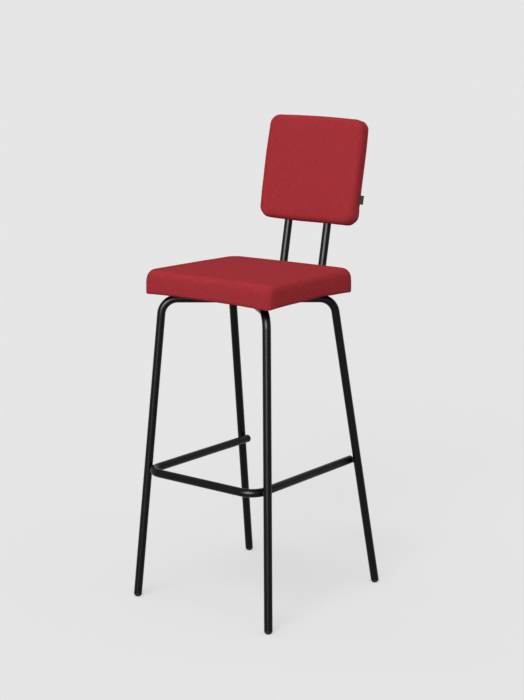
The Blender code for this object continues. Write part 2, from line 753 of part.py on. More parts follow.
def seat_form(drawn_in):
    """The seat's soft form, or the same form drawn in all round."""
    half_x = SEAT_HALF_WIDTH - drawn_in
    half_y = SEAT_HALF_DEPTH - drawn_in
    height = SEAT_HEIGHT - 2 * drawn_in
    cage = cushion_cage(
        half_x, half_y, height, SEAT_CORNER_RADIUS - drawn_in,
        SEAT_TOP_EDGE_RADIUS - drawn_in, SEAT_BOTTOM_EDGE_RADIUS - drawn_in)
    for vert in cage.verts:
        across = (vert.co.x / half_x) ** 2
        along = (vert.co.y / half_y) ** 2
        level = vert.co.z / height
        vert.co.z += SEAT_CROWN * (1 - across) * (1 - along) * level
        vert.co.z -= SEAT_CORNER_DROOP * (across * along) ** 2 * (1 - level)
        vert.co.z += drawn_in
    return cage


def soft_part(name, cage, finish, placed):
    part = add_part(name, finish_cage(cage, name), finish, placed)
    add_softening(part)
    return part


def build_seat_cushion():
    placed = Matrix.Translation(SEAT_MIDDLE + Vector((0, 0, SEAT_BOTTOM)))
    cover = soft_part("seat_cover", seat_form(0.0), RED_CLOTH, placed)
    add_cover_skin(cover, SEAT_COVER_THICKNESS)
    open_corner = Vector((
        SEAT_HALF_WIDTH - SEAT_COVER_TURN_UNDER, SEAT_HALF_DEPTH - SEAT_COVER_TURN_UNDER,
        SEAT_COVER_THICKNESS + FIT_GAP))
    cut(cover, box_cutter("seat_cover_cutter", -open_corner, open_corner, placed))

    foam = soft_part("seat_foam", seat_form(SEAT_COVER_THICKNESS + FIT_GAP), FOAM, placed)
    low = Vector((-SEAT_HALF_WIDTH, -SEAT_HALF_DEPTH, -CUT_OVERRUN))
    high = Vector((SEAT_HALF_WIDTH, SEAT_HALF_DEPTH, SEAT_BOARD_TOP + FIT_GAP - SEAT_BOTTOM))
    cut(foam, box_cutter("seat_foam_cutter", low, high, placed))


def back_form(drawn_in):
    """The backrest's soft form about its own middle, or the same form drawn in all round."""
    half_x = BACK_HALF_WIDTH - drawn_in
    half_y = BACK_HALF_HEIGHT - drawn_in
    thickness = BACK_THICKNESS - 2 * drawn_in
    edge_radius = BACK_EDGE_RADIUS - drawn_in
    cage = cushion_cage(
        half_x, half_y, thickness, BACK_CORNER_RADIUS - drawn_in, edge_radius, edge_radius)
    for vert in cage.verts:
        across = vert.co.x / half_x
        up = vert.co.y / half_y
        through = 2 * vert.co.z / thickness - 1
        vert.co.x += BACK_SIDE_BOW * across * (1 - up ** 2)
        vert.co.y += BACK_SIDE_BOW * up * (1 - across ** 2)
        vert.co.z += BACK_CROWN * (1 - across ** 2) * (1 - up ** 2) * through - thickness / 2
    return cage


def back_board_outline(grown):
    half_x = BACK_HALF_WIDTH - BACK_BOARD_INSET + grown
    half_y = BACK_HALF_HEIGHT - BACK_BOARD_INSET + grown
    return rounded_outline(half_x, half_y, BACK_BOARD_CORNER_RADIUS + grown)


def build_back_board():
    """Thin plywood in front of the posts with a stepped hole for each tee nut."""
    middle = (BACK_BOARD_NEAR + BACK_BOARD_FAR) / 2 - BACK_MIDDLE_BEFORE_POST
    placed = back_frame() @ Matrix.Translation((0, 0, middle))
    board = as_mesh_part(flat_plate(
        "back_board", (back_board_outline(0.0),), BACK_BOARD_THICKNESS, PLYWOOD, placed))
    hole = tee_nut_hole_profile(
        BACK_NUT_BARREL_RADIUS, BACK_NUT_FLANGE_RADIUS,
        BACK_NUT_FLANGE_THICKNESS - BACK_BOARD_FAR, -BACK_BOARD_NEAR, -BACK_BOARD_FAR)
    for name, side in LEFT_RIGHT:
        for level, frame in back_screw_frames(side):
            cut(board, turned_cutter(f"back_board_{name}_{level}_cutter", hole, SMALL_SIDES, frame))


def build_back_fasteners():
    bore = BACK_SCREW_RADIUS + FIT_GAP
    screw = screw_profile(
        BACK_SCREW_RADIUS, BACK_SCREW_HEAD_RADIUS, BACK_SCREW_HEAD_HEIGHT,
        TUBE_RADIUS + FIT_GAP, FIT_GAP - BACK_BOARD_FAR)
    nut = tee_nut_profile(
        bore, BACK_NUT_BARREL_RADIUS, -BACK_BOARD_NEAR - FIT_GAP,
        BACK_NUT_FLANGE_RADIUS, BACK_NUT_FLANGE_THICKNESS - BACK_BOARD_FAR, -BACK_BOARD_FAR)
    for name, side in LEFT_RIGHT:
        for level, frame in back_screw_frames(side):
            turned_part(f"back_screw_{level}_{name}", screw, SMALL_SIDES, ZINC, frame)
            turned_part(f"back_tee_nut_{level}_{name}", nut, SMALL_SIDES, ZINC, frame)


def outline_cutter(name, outline, bottom, top, placed):
    """An upright block with the outline, between two heights."""
    block = bmesh.new()
    base = block.faces.new([block.verts.new((x, y, bottom)) for x, y in outline])
    raised = bmesh.ops.extrude_face_region(block, geom=[base])["geom"]
    for vert in [item for item in raised if isinstance(item, bmesh.types.BMVert)]:
        vert.co.z = top
    bmesh.ops.recalc_face_normals(block, faces=block.faces)
    mesh = bpy.data.meshes.new(name)
    block.to_mesh(mesh)
    block.free()
    return add_cutter(name, mesh, placed)


def post_channel_cutter(name, side):
    """The room for a post and its plug inside the backrest."""
    middle = Matrix.Translation((side * POST_HALF_SPACING, 0, -BACK_MIDDLE_BEFORE_POST))
    placed = back_frame() @ middle @ Matrix.Rotation(-pi / 2, 4, "X")
    # The channel's flats lie inside its circle, so it is widened until they clear the gap.
    radius = (TUBE_RADIUS + FIT_GAP) / cos(pi / SMALL_SIDES)
    room = rod_profile(
        radius, -BACK_HALF_HEIGHT - CUT_OVERRUN,
        POST_END_ABOVE_BACK_MIDDLE + PLUG_DOME_HEIGHT + 2 * FIT_GAP)
    return turned_cutter(f"post_{name}_channel_cutter", room, SMALL_SIDES, placed)


def build_back_cushion():
    """A cover over two foams that close round the board and the posts."""
    placed = back_frame()
    cover = soft_part("back_cover", back_form(0.0), RED_CLOTH, placed)
    add_cover_skin(cover, BACK_COVER_THICKNESS)
    drawn_in = BACK_COVER_THICKNESS + FIT_GAP
    front_foam = soft_part("back_foam_front", back_form(drawn_in), FOAM, placed)
    rear_foam = soft_part("back_foam_rear", back_form(drawn_in), FOAM, placed)

    board_front = BACK_BOARD_FAR - BACK_MIDDLE_BEFORE_POST
    board_back = BACK_BOARD_NEAR - BACK_MIDDLE_BEFORE_POST
    edge = Vector((2 * BACK_HALF_WIDTH, 2 * BACK_HALF_HEIGHT, BACK_THICKNESS))
    behind = Vector((edge.x, edge.y, board_front + FIT_GAP))
    cut(front_foam, box_cutter("back_foam_front_cutter", -edge, behind, placed))
    before = Vector((-edge.x, -edge.y, board_front))
    cut(rear_foam, box_cutter("back_foam_rear_cutter", before, edge, placed))
    pocket = outline_cutter(
        "back_board_pocket_cutter", back_board_outline(FIT_GAP),
        board_back - FIT_GAP, board_front + CUT_OVERRUN, placed)
    cut(rear_foam, pocket)

    head_room = rod_profile(
        BACK_SCREW_HEAD_RADIUS + FIT_GAP, 0.0, TUBE_RADIUS + BACK_SCREW_HEAD_HEIGHT + 2 * FIT_GAP)
    for name, side in LEFT_RIGHT:
        channel = post_channel_cutter(name, side)
        cut(cover, channel)
        cut(rear_foam, channel)
        for level, frame in back_screw_frames(side):
            cut(rear_foam, turned_cutter(
                f"back_foam_{level}_{name}_cutter", head_room, SMALL_SIDES, frame))


def build_seam_tab():
    """A bare folded tape that comes out of the seam at the backrest's right side."""
    rise = SEAM_TAB_RISE + SEAM_TAB_HEIGHT / 2 - BACK_HALF_HEIGHT
    middle = Vector((BACK_HALF_WIDTH, rise, -SEAM_TAB_BEHIND_MIDDLE))
    outline = rounded_outline(SEAM_TAB_REACH, SEAM_TAB_HEIGHT / 2, SEAM_TAB_THICKNESS)
    placed = back_frame() @ Matrix.Translation(middle)
    tab = as_mesh_part(flat_plate(
        "back_seam_tab", (outline,), SEAM_TAB_THICKNESS, SEAM_TAB_CLOTH, placed))
    cushion = add_cutter(
        "seam_tab_cutter", finish_cage(back_form(-FIT_GAP), "seam_tab_cutter"), back_frame())
    add_softening(cushion)
    cut(tab, cushion)


def stand_on_origin():
    """Moves the stool until the middle of its box is over the origin."""
    bpy.context.view_layer.update()
    graph = bpy.context.evaluated_depsgraph_get()
    low = high = None
    for part in PARTS.objects:
        if part.type == "EMPTY":
            continue
        shape = part.evaluated_get(graph)
        mesh = shape.to_mesh()
        for vert in mesh.vertices:
            reach = (shape.matrix_world @ vert.co).y
            low = reach if low is None else min(low, reach)
            high = reach if high is None else max(high, reach)
        shape.to_mesh_clear()
    ORIGIN.location.y -= (low + high) / 2
    bpy.context.view_layer.update()


build_legs()
build_glides()
build_footrest()
build_posts()
build_seat_tabs()
build_seat_fasteners()
build_seat_board()
build_dust_cloth()
build_seat_cushion()
build_back_board()
build_back_fasteners()
build_back_cushion()
build_seam_tab()
stand_on_origin()
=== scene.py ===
"""Looks for a bar stool of bent black tube with a red upholstered seat and backrest.

Metres, +Z up, +Y towards the back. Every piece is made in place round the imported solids.
"""

import json
from math import atan2, cos, exp, hypot, pi, radians, sin, sqrt, tan

import bmesh
import bpy
import numpy as np
from mathutils import Matrix, Vector, noise


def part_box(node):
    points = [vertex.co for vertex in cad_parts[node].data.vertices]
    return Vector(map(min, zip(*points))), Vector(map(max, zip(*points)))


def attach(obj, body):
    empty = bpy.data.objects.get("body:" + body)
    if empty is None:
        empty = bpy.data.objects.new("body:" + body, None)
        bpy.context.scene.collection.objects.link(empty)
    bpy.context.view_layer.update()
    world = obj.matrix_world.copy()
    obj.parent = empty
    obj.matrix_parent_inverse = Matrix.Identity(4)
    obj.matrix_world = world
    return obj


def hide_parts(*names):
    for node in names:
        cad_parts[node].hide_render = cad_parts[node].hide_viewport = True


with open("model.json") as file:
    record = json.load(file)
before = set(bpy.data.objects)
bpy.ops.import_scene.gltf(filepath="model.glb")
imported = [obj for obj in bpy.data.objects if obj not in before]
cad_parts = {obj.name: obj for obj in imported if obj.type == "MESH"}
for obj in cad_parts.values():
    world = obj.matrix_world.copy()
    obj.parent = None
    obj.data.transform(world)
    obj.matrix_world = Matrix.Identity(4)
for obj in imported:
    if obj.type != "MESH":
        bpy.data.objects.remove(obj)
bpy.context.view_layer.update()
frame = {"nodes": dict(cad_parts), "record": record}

UP = Vector((0, 0, 1))
FIT_GAP = 0.0003
MERGE_DISTANCE = 0.00001
TUBE_SHARP_ANGLE = radians(40)
SMALL_SHARP_ANGLE = radians(35)

# Camera, fitted to the photograph's 524 by 700 pixels
PHOTO_HEIGHT = 700
FOCAL_PIXELS = 1605.1
SENSOR = 36.0
CAMERA_AZIMUTH = radians(37.0)
CAMERA_ELEVATION = radians(11.71)
CAMERA_ROLL = radians(0.56)
CAMERA_PLACE = Vector((2.2012, -2.8672, 1.3418))

# Steel tube and the places of the bent tubes' corners
TUBE_RADIUS = 0.0095
TUBE_WALL = 0.0015
BEND_RADIUS = 0.038
TOP_TUBE_HEIGHT = 0.7128
TOP_HALF_WIDTH = 0.1482
TOP_HALF_DEPTH = 0.1276
FOOT_HALF_WIDTH = 0.1930
FRONT_FOOT_REACH = 0.1685
REAR_FOOT_REACH = 0.2643
FOOTREST_HEIGHT = 0.3152
FOOTREST_REACH = 0.1745
FOOTREST_END_INSET = 0.0020
POST_HALF_SPACING = 0.0562
POST_LEAN = radians(10.67)
POST_CORNER_REACH = 0.2009
BACK_MIDDLE_HEIGHT = 0.9905
BACK_MIDDLE_BEFORE_POST = 0.0030
POST_END_ABOVE_BACK_MIDDLE = 0.0520

# Glides and plugs
GLIDE_HEAD_HEIGHT = 0.0085
GLIDE_DOME_HEIGHT = 0.0075
GLIDE_FLAT_DEPTH = 0.0007
GLIDE_SHANK_LENGTH = 0.010
GLIDE_LIP = 0.0004
PLUG_DOME_HEIGHT = 0.0035
PLUG_SHANK_LENGTH = 0.010

# Seat cushion
SEAT_HALF_WIDTH = 0.1781
SEAT_HALF_DEPTH = 0.1666
SEAT_MIDDLE_REACH = 0.0037
SEAT_HEIGHT = 0.0502
SEAT_CORNER_RADIUS = 0.0212
SEAT_TOP_CORNER_RADIUS = 0.0275
SEAT_TOP_EDGE_RADIUS = 0.0145
SEAT_BOTTOM_EDGE_RADIUS = 0.0064
SEAT_BOTTOM_CORNER_EDGE_RADIUS = 0.0030
SEAT_CROWN = 0.0016
SEAT_TOP_RISE = 0.0031
SEAT_SWELL = 0.0016
SEAT_CORNER_DROOP = 0.0044
SEAT_DROOP_POWER = 1.2
SEAT_SIDE_LIFT = 0.0034
SEAT_SIDE_LIFT_REACH = 0.026
SEAT_REAR_LEFT_SAG = 0.0026
SEAT_SIDE_BOW = 0.0008
PLEAT_FROM_CORNER = 0.0129
PLEAT_STEP = 0.0013
PLEAT_GROOVE = 0.0006
PLEAT_TOP = 0.0380
GATHER_DEPTH = 0.0007
GATHER_REACH = 0.034
GATHER_WAVES = 14
FOLD_LINES = (-0.0016, -0.0003, 0.0006, 0.0022)
SEAT_UNEVENNESS = 0.0004
SEAT_HUMPS_PER_METRE = 14

# Backrest cushion in its own plane
BACK_HALF_WIDTH = 0.1326
BACK_HALF_HEIGHT = 0.1228
BACK_THICKNESS = 0.0440
BACK_FRONT_CORNER_RADIUS = 0.0240
BACK_REAR_CORNER_RADIUS = 0.0250
BACK_REAR_TOP_CORNER_RADIUS = 0.0190
BACK_EDGE_RADIUS = 0.0140
BACK_CROWN = 0.0010
BACK_SWELL = 0.0018
BACK_FRONT_BOW = 0.0040
BACK_REAR_BOW = 0.0022
BACK_END_BOW = 0.0020
BACK_SEAM_BEHIND_MIDDLE = 0.0060
SEAM_DEPTH = 0.0012
SEAM_HALF_WIDTH = 0.0013
PUCKER_DEPTH = 0.00035
PUCKER_PITCH = 0.0105
EAR_OUT = 0.0026
EAR_DOWN = 0.0028
EAR_RISE = 0.024
EAR_REACH = 0.036
BACK_TOP_SLANT = 0.0013
BACK_BOTTOM_SAG = 0.0010
TOP_CORNER_DROOP = 0.0023
TOP_CORNER_REACH = 0.045
DENT_DEPTH = 0.0018
DENT_REACH = 0.0045
POST_DIMPLE_DEPTH = 0.0014
POST_DIMPLE_REACH = 0.011
FRONT_STARTS = 0.4
SEAM_LINES = (-0.0026, -0.0010, 0, 0.0010, 0.0026)
PUCKER_WANDER = 2
PUCKER_HUMPS_PER_METRE = 60
BACK_UNEVENNESS = 0.0005
BACK_HUMPS_PER_METRE = 16
CHANNEL_START = 1.2

# Tape tab in the backrest's side seam
TAPE_TAB_HEIGHT = 0.0210
TAPE_TAB_REACH = 0.0110
TAPE_TAB_ROOT = 0.0070
TAPE_TAB_SHIFT = 0.0026
TAPE_TAB_RISE = 0.0490
TAPE_THICKNESS = 0.00035
TAPE_FOLD_RADIUS = 0.00055
TAPE_FOLD_ANGLES = [radians(angle) for angle in range(-90, 91, 15)]
TAPE_ROWS = 24
TAPE_BULGE = 1.3
TAPE_CURL = 0.0010
SELVEDGE_SHARE = 0.35
SELVEDGE_REACH = 0.0009
STITCH_LENGTH = 0.0020
STITCH_PITCH = 0.0028
STITCH_RADIUS = 0.00017
STITCH_ROW_SHARE = 0.42
STITCH_ROW_CURL = 0.0004

# Under the seat
TAB_THICKNESS = 0.0040
TAB_LENGTH = 0.032
TAB_DISTANCE = 0.125
TAB_SCREW_OFFSET = 0.0185
SEAT_SCREW_RADIUS = 0.0030
SEAT_SCREW_HEAD_RADIUS = 0.0052
SEAT_SCREW_HEAD_HEIGHT = 0.0036
SEAT_SCREW_SOCKET_RADIUS = 0.0023
SEAT_SCREW_SOCKET_DEPTH = 0.0021
SEAT_SCREW_EDGE = 0.0006
SEAT_SCREW_DOME_ANGLES = [radians(angle) for angle in range(0, 72, 6)]
SEAT_SCREW_TWIST = radians(30)
SEAT_WASHER_RADIUS = 0.0065
SEAT_WASHER_THICKNESS = 0.0012
DUST_CLOTH_INSET = 0.030
DUST_CLOTH_THICKNESS = 0.00035
DUST_CLOTH_HEM = 0.012
DUST_CLOTH_CORNER_RADIUS = 0.008
HEM_EDGE = 0.004
WRINKLES_PER_METRE = 22
REST_SHARE = 0.15
HEM_SHARE = 0.35
WRINKLE_SHARE = 0.4
STAPLE_INSET = 0.0065
STAPLE_PITCH = 0.0240
STAPLE_LENGTH = 0.0100
STAPLE_WIRE_RADIUS = 0.0004
STAPLE_BEVEL_RESOLUTION = 1
STAPLE_TWIST = radians(9)

# Weld beads
SADDLE_BEAD_RADIUS = 0.0015
TOUCH_BEAD_RADIUS = 0.0014
TOUCH_RING_RADIUS = 0.0056
TAB_BEAD_RADIUS = 0.0011
TAB_BEAD_OFFSET = 0.0062
BEAD_PITCH_SHARE = 0.75
SADDLE_BEAD_PROUD = 0.3
TAB_BEAD_SHARE = 0.42
TAB_BEAD_SINK = 0.6
SMALLEST_BEAD = 0.9
LARGEST_BEAD = 1.1
SADDLE_STEPS = 72
RING_STEPS = 36

# How finely the pieces are made
TUBE_BEVEL_RESOLUTION = 18
BEND_STEPS = 20
TURNED_SIDES = 40
CUSHION_SPACING = 0.0055
CLOTH_FRAMES = 20
CLOTH_SETTINGS = {
    "use_pressure": True,
    "uniform_pressure_force": 4.0,
    "tension_stiffness": 15.0,
    "compression_stiffness": 5.0,
    "bending_stiffness": 0.5,
}

SHIFT = (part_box("seat_board")[0].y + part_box("seat_board")[1].y) / 2 - SEAT_MIDDLE_REACH
SEAT_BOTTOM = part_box("seat_dust_cloth")[1].z + FIT_GAP
TAB_BOTTOM = TOP_TUBE_HEIGHT + TUBE_RADIUS + FIT_GAP
DIAGONAL_ANGLE = atan2(TOP_HALF_DEPTH, TOP_HALF_WIDTH)
CROSSING = Vector((0, SHIFT, TOP_TUBE_HEIGHT))
COPE_REACH = 4 * TUBE_RADIUS
SHANK_RADIUS = TUBE_RADIUS - TUBE_WALL - FIT_GAP
LEFT_RIGHT = (("left", -1), ("right", 1))
CORNERS = (
    ("front_left", -1, -1),
    ("front_right", 1, -1),
    ("rear_left", -1, 1),
    ("rear_right", 1, 1),
)


def linear(colour):
    """An sRGB hex colour as linear red, green, blue and a full alpha."""
    channels = [int(colour[start:start + 2], 16) / 255 for start in (1, 3, 5)]
    return tuple(
        channel / 12.92 if channel <= 0.04045 else ((channel + 0.055) / 1.055) ** 2.4
        for channel in channels) + (1.0,)


def add_node(tree, kind, values=None, links=None, **settings):
    """Adds a node with its settings, the values of its sockets and the links into them."""
    made = tree.nodes.new(kind)
    for name, value in settings.items():
        setattr(made, name, value)
    for socket, value in (values or {}).items():
        made.inputs[socket].default_value = value
    for socket, source in (links or {}).items():
        tree.links.new(source, made.inputs[socket])
    return made


def first_of(*node, **settings):
    """Adds a node as add_node does, and returns its first output."""
    return add_node(*node, **settings).outputs[0]


def new_material(name, **values):
    """A material whose Principled shader takes the values; returns it and its tree."""
    made = bpy.data.materials.new(name)
    made.use_nodes = True
    shader = made.node_tree.nodes["Principled BSDF"]
    for socket, value in values.items():
        shader.inputs[socket.replace("_", " ")].default_value = value
    return made, made.node_tree


def feed(tree, socket, source):
    """Links the source into a socket of the tree's Principled shader."""
    tree.links.new(source, tree.nodes["Principled BSDF"].inputs[socket])


# A wave texture's bands along X, Y or Z are 2 pi / 20 of a unit apart at a scale of 1
ONE_BAND_PER_UNIT = pi / 10


def per_millimetre(size):
    """A texture scale whose cells are about that many millimetres."""
    return 1000 / size


def own_place(tree):
    return add_node(tree, "ShaderNodeTexCoord").outputs["Object"]


def noise_in(tree, place, scale, detail):
    return add_node(
        tree, "ShaderNodeTexNoise", {"Scale": scale, "Detail": detail}, {"Vector": place}
    ).outputs["Fac"]


def bands_in(tree, place, scale, distortion, direction):
    return add_node(
        tree, "ShaderNodeTexWave", {"Scale": scale, "Distortion": distortion}, {"Vector": place},
        wave_type="BANDS", bands_direction=direction).outputs["Fac"]


def cells_in(tree, place, **values):
    return add_node(
        tree, "ShaderNodeTexVoronoi", values, {"Vector": place}, feature="F1").outputs["Distance"]


def between(tree, source, low, high):
    """The source, from nought to one, spread from low to high."""
    return add_node(
        tree, "ShaderNodeMapRange", {"To Min": low, "To Max": high}, {"Value": source}
    ).outputs["Result"]


def tinted(tree, source, dark, light, start=0.0, end=1.0):
    """A blend of two colours as the source goes from start to end."""
    blend = add_node(tree, "ShaderNodeValToRGB", links={"Fac": source})
    for stop, position, colour in zip(blend.color_ramp.elements, (start, end), (dark, light)):
        stop.position = position
        stop.color = linear(colour)
    return blend.outputs["Color"]


def combined(tree, operation, first, second):
    return add_node(
        tree, "ShaderNodeMath", links={0: first, 1: second}, operation=operation
    ).outputs["Value"]


def bumped(tree, height, strength, distance):
    bump = add_node(
        tree, "ShaderNodeBump", {"Strength": strength, "Distance": distance}, {"Height": height})
    feed(tree, "Normal", bump.outputs["Normal"])


def red_woven_upholstery():
    """Plain-woven upholstery cloth in red wool and nylon.

    It gives a matt face of threads that each differ a little in tone, and almost no shine. The
    photograph is too coarse to show the threads, so their spacing is a choice.
    """
    made, tree = new_material(
        "red_woven_upholstery", Roughness=0.96, IOR=1.45, Specular_IOR_Level=0.05)
    cloth = add_node(tree, "ShaderNodeUVMap", uv_map="cloth").outputs["UV"]
    threads = add_node(
        tree, "ShaderNodeMapping", {"Scale": (per_millimetre(1.1),) * 3}, {"Vector": cloth}
    ).outputs["Vector"]
    over = add_node(
        tree, "ShaderNodeTexChecker", {"Scale": 1.0, "Color1": (1, 1, 1, 1), "Color2": (0, 0, 0, 1)},
        {"Vector": threads}).outputs["Fac"]
    rounds, tones = [], []
    for direction, stretch in (("X", (1.0, 0.08, 1.0)), ("Y", (0.08, 1.0, 1.0))):
        rounds.append(bands_in(
            tree, threads, ONE_BAND_PER_UNIT, distortion=0.0, direction=direction))
        run = add_node(tree, "ShaderNodeMapping", {"Scale": stretch}, {"Vector": threads})
        tones.append(noise_in(tree, run.outputs["Vector"], 1.0, detail=3.0))
    weave, slub = (
        add_node(tree, "ShaderNodeMix", links={"Factor": over, "A": weft, "B": warp}).outputs["Result"]
        for warp, weft in (rounds, tones))
    worn = between(tree, noise_in(tree, cloth, per_millimetre(45.0), detail=3.0), 0.96, 1.04)
    # Each thread is painted darker towards its edges and lighter on its crown: painted shade between the
    # threads, on top of the bump
    deep = between(tree, weave, 0.86, 1.10)
    tone = combined(tree, "MULTIPLY", worn, deep)
    # The two reds are the cloth's own red with a little grey added: a painted sheen in place of part of
    # the cloth's shine, with a random tone per thread
    heather_and_painted_sheen = tinted(tree, slub, "#9C272D", "#BE3D43", start=0.30, end=0.70)
    colour = add_node(
        tree, "ShaderNodeVectorMath", links={0: heather_and_painted_sheen, "Scale": tone}, operation="SCALE")
    feed(tree, "Base Color", colour.outputs["Vector"])
    bumped(tree, weave, strength=0.4, distance=0.0002)
    return made


def satin_black_powder_coat():
    """Polyester powder sprayed on steel tube and baked.

    It gives a deep satin black with a fine orange peel that softens each highlight.
    """
    made, tree = new_material(
        "satin_black_powder_coat", IOR=1.45, Base_Color=linear("#040404"), Specular_IOR_Level=0.15)
    place = own_place(tree)
    patches = noise_in(tree, place, per_millimetre(30.0), detail=4.0)
    feed(tree, "Roughness", between(tree, patches, 0.28, 0.36))
    peel = noise_in(tree, place, per_millimetre(1.4), detail=2.0)
    bumped(tree, peel, strength=0.12, distance=0.0002)
    return made


def moulded_black_polyethylene():
    """Moulded black polyethylene, waxy and matt, with a fine eroded grain."""
    made, tree = new_material(
        "moulded_black_polyethylene", IOR=1.5, Base_Color=linear("#0C0C0C"), Specular_IOR_Level=0.18)
    grain = noise_in(tree, own_place(tree), per_millimetre(0.8), detail=3.0)
    feed(tree, "Roughness", between(tree, grain, 0.46, 0.60))
    bumped(tree, grain, strength=0.2, distance=0.0001)
    return made


def black_spunbond_cloth():
    """Nonwoven black spunbond, point bonded: a dull sheet with a grid of small pressed dots."""
    made, tree = new_material("black_spunbond_cloth", Roughness=0.95, IOR=1.5)
    place = own_place(tree)
    dots = cells_in(tree, place, Scale=per_millimetre(2.2), Randomness=0.1)
    fibres = noise_in(tree, place, per_millimetre(1.0), detail=6.0)
    feed(tree, "Base Color", tinted(tree, fibres, "#141415", "#2A2A2B"))
    bumped(tree, combined(tree, "ADD", dots, fibres), strength=0.5, distance=0.0003)
    return made


def dark_grosgrain_tape():
    """Woven polyester tape in charcoal, with fine ribs that run out from the seam."""
    made, tree = new_material(
        "dark_grosgrain_tape", Roughness=0.8, IOR=1.5, Specular_IOR_Level=0.12)
    ribs = bands_in(
        tree, own_place(tree), ONE_BAND_PER_UNIT * per_millimetre(0.9), distortion=0.4,
        direction="Z")
    # The ribs are painted lighter on their crests and darker between them: painted shade in the grooves
    feed(tree, "Base Color", tinted(tree, ribs, "#231B22", "#43383F"))
    bumped(tree, ribs, strength=0.4, distance=0.0002)
    return made


def bright_zinc_plate():
    """Zinc-plated steel: a pale bluish metal with faint clouds from the bath."""
    made, tree = new_material("bright_zinc_plate", Metallic=1.0, Base_Color=linear("#B9BCC2"))
    clouds = noise_in(tree, own_place(tree), per_millimetre(4.0), detail=4.0)
    feed(tree, "Roughness", between(tree, clouds, 0.26, 0.46))
    return made


def birch_plywood():
    """Rotary-cut birch plywood: pale wood with a long soft grain."""
    made, tree = new_material("birch_plywood", Roughness=0.6, IOR=1.5)
    stretch = [per_millimetre(size) for size in (6.0, 90.0, 2.0)]
    along = add_node(tree, "ShaderNodeMapping", {"Scale": stretch}, {"Vector": own_place(tree)})
    grain = noise_in(tree, along.outputs["Vector"], 1.0, detail=5.0)
    feed(tree, "Base Color", tinted(tree, grain, "#B48E5F", "#DCC29A"))
    return made


def charcoal_thread():
    """Bonded polyester sewing thread, a little shiny, with slanting bands for its twist."""
    made, tree = new_material("charcoal_thread", Roughness=0.55, IOR=1.5)
    plies = bands_in(
        tree, own_place(tree), ONE_BAND_PER_UNIT * per_millimetre(0.35), distortion=0.3,
        direction="DIAGONAL")
    # The plies are painted lighter and the grooves between them darker: painted shade in the grooves of
    # the twist
    feed(tree, "Base Color", tinted(tree, plies, "#302B31", "#575058"))
    bumped(tree, plies, strength=0.5, distance=0.0001)
    return made


def polyurethane_foam():
    """Cut open-cell foam: cream, matt, with fine pores."""
    made, tree = new_material("polyurethane_foam", Roughness=1.0, IOR=1.4)
    pores = cells_in(tree, own_place(tree), Scale=per_millimetre(1.5))
    # The pores are painted darker at their hollows: painted shade in the pits
    feed(tree, "Base Color", tinted(tree, pores, "#B9A877", "#E3D7AE"))
    bumped(tree, pores, strength=0.6, distance=0.0004)
    return made


# The finish of each slot; the thread shares the tape's slot
FINISHES = {
    "powder_coat": satin_black_powder_coat(),
    "black_plastic": moulded_black_polyethylene(),
    "red_cloth": red_woven_upholstery(),
    "dust_cloth": black_spunbond_cloth(),
    "dark_tape": dark_grosgrain_tape(),
    "zinc_steel": bright_zinc_plate(),
    "plywood": birch_plywood(),
    "foam": polyurethane_foam(),
}
THREAD = charcoal_thread()


def link(name, data):
    made = bpy.data.objects.new(name, data)
    bpy.context.scene.collection.objects.link(made)
    return made


def from_points(name, points, edges=(), faces=()):
    """The points, edges and faces as an object."""
    mesh = bpy.data.meshes.new(name)
    mesh.from_pydata(points, edges, faces)
    return link(name, mesh)


def camera_axes():
    """The camera's right, up and back directions in the fitted photograph."""
    azimuth, elevation, roll = CAMERA_AZIMUTH, CAMERA_ELEVATION, CAMERA_ROLL
    back = Vector((
        sin(azimuth) * cos(elevation), -cos(azimuth) * cos(elevation), sin(elevation)))
    right = Vector((cos(azimuth), sin(azimuth), 0))
    up = back.cross(right)
    return cos(roll) * right + sin(roll) * up, cos(roll) * up - sin(roll) * right, back


def build_camera():
    lens = bpy.data.cameras.new("camera")
    lens.sensor_width = SENSOR
    lens.lens = SENSOR * FOCAL_PIXELS / PHOTO_HEIGHT
    camera = link("camera", lens)
    turned = Matrix(camera_axes()).transposed().to_4x4()
    camera.matrix_world = Matrix.Translation(CAMERA_PLACE + Vector((0, SHIFT, 0))) @ turned
    bpy.context.scene.camera = camera


BACKDROP = linear("#E5E5E5")
FLOOR_PAINT = linear("#E9E9E9")
FLOOR_BOUNCE = linear("#A5A5A5")
FLOOR_GLOW = linear("#FFFFFF")
FLOOR_SHADE = 0.53
FLOOR_SIZE = 60.0
WORLD_LEVEL = 0.16


def seen_directly(tree):
    """One for what the camera sees straight, in gloss or through glass, and zero for light."""
    path = add_node(tree, "ShaderNodeLightPath").outputs
    gloss = combined(tree, "MAXIMUM", path["Is Glossy Ray"], path["Is Transmission Ray"])
    return combined(tree, "MAXIMUM", path["Is Camera Ray"], gloss)


def emptied(owner):
    """The node tree of a world or a material, with nothing in it."""
    owner.use_nodes = True
    owner.node_tree.nodes.clear()
    return owner.node_tree


def end_shading(tree, output, share, first, second):
    """Ends a tree with a blend of two shaders."""
    blend = add_node(
        tree, "ShaderNodeMixShader", links={0: share, 1: first.outputs[0], 2: second.outputs[0]})
    add_node(tree, output, links={"Surface": blend.outputs[0]})


def build_world():
    """Plain light from all round; what is seen directly is the pale backdrop."""
    world = bpy.data.worlds.new("studio")
    bpy.context.scene.world = world
    tree = emptied(world)
    light = add_node(
        tree, "ShaderNodeBackground", {"Color": (1, 1, 1, 1), "Strength": WORLD_LEVEL})
    backdrop = add_node(tree, "ShaderNodeBackground", {"Color": BACKDROP, "Strength": 1.0})
    end_shading(tree, "ShaderNodeOutputWorld", seen_directly(tree), light, backdrop)


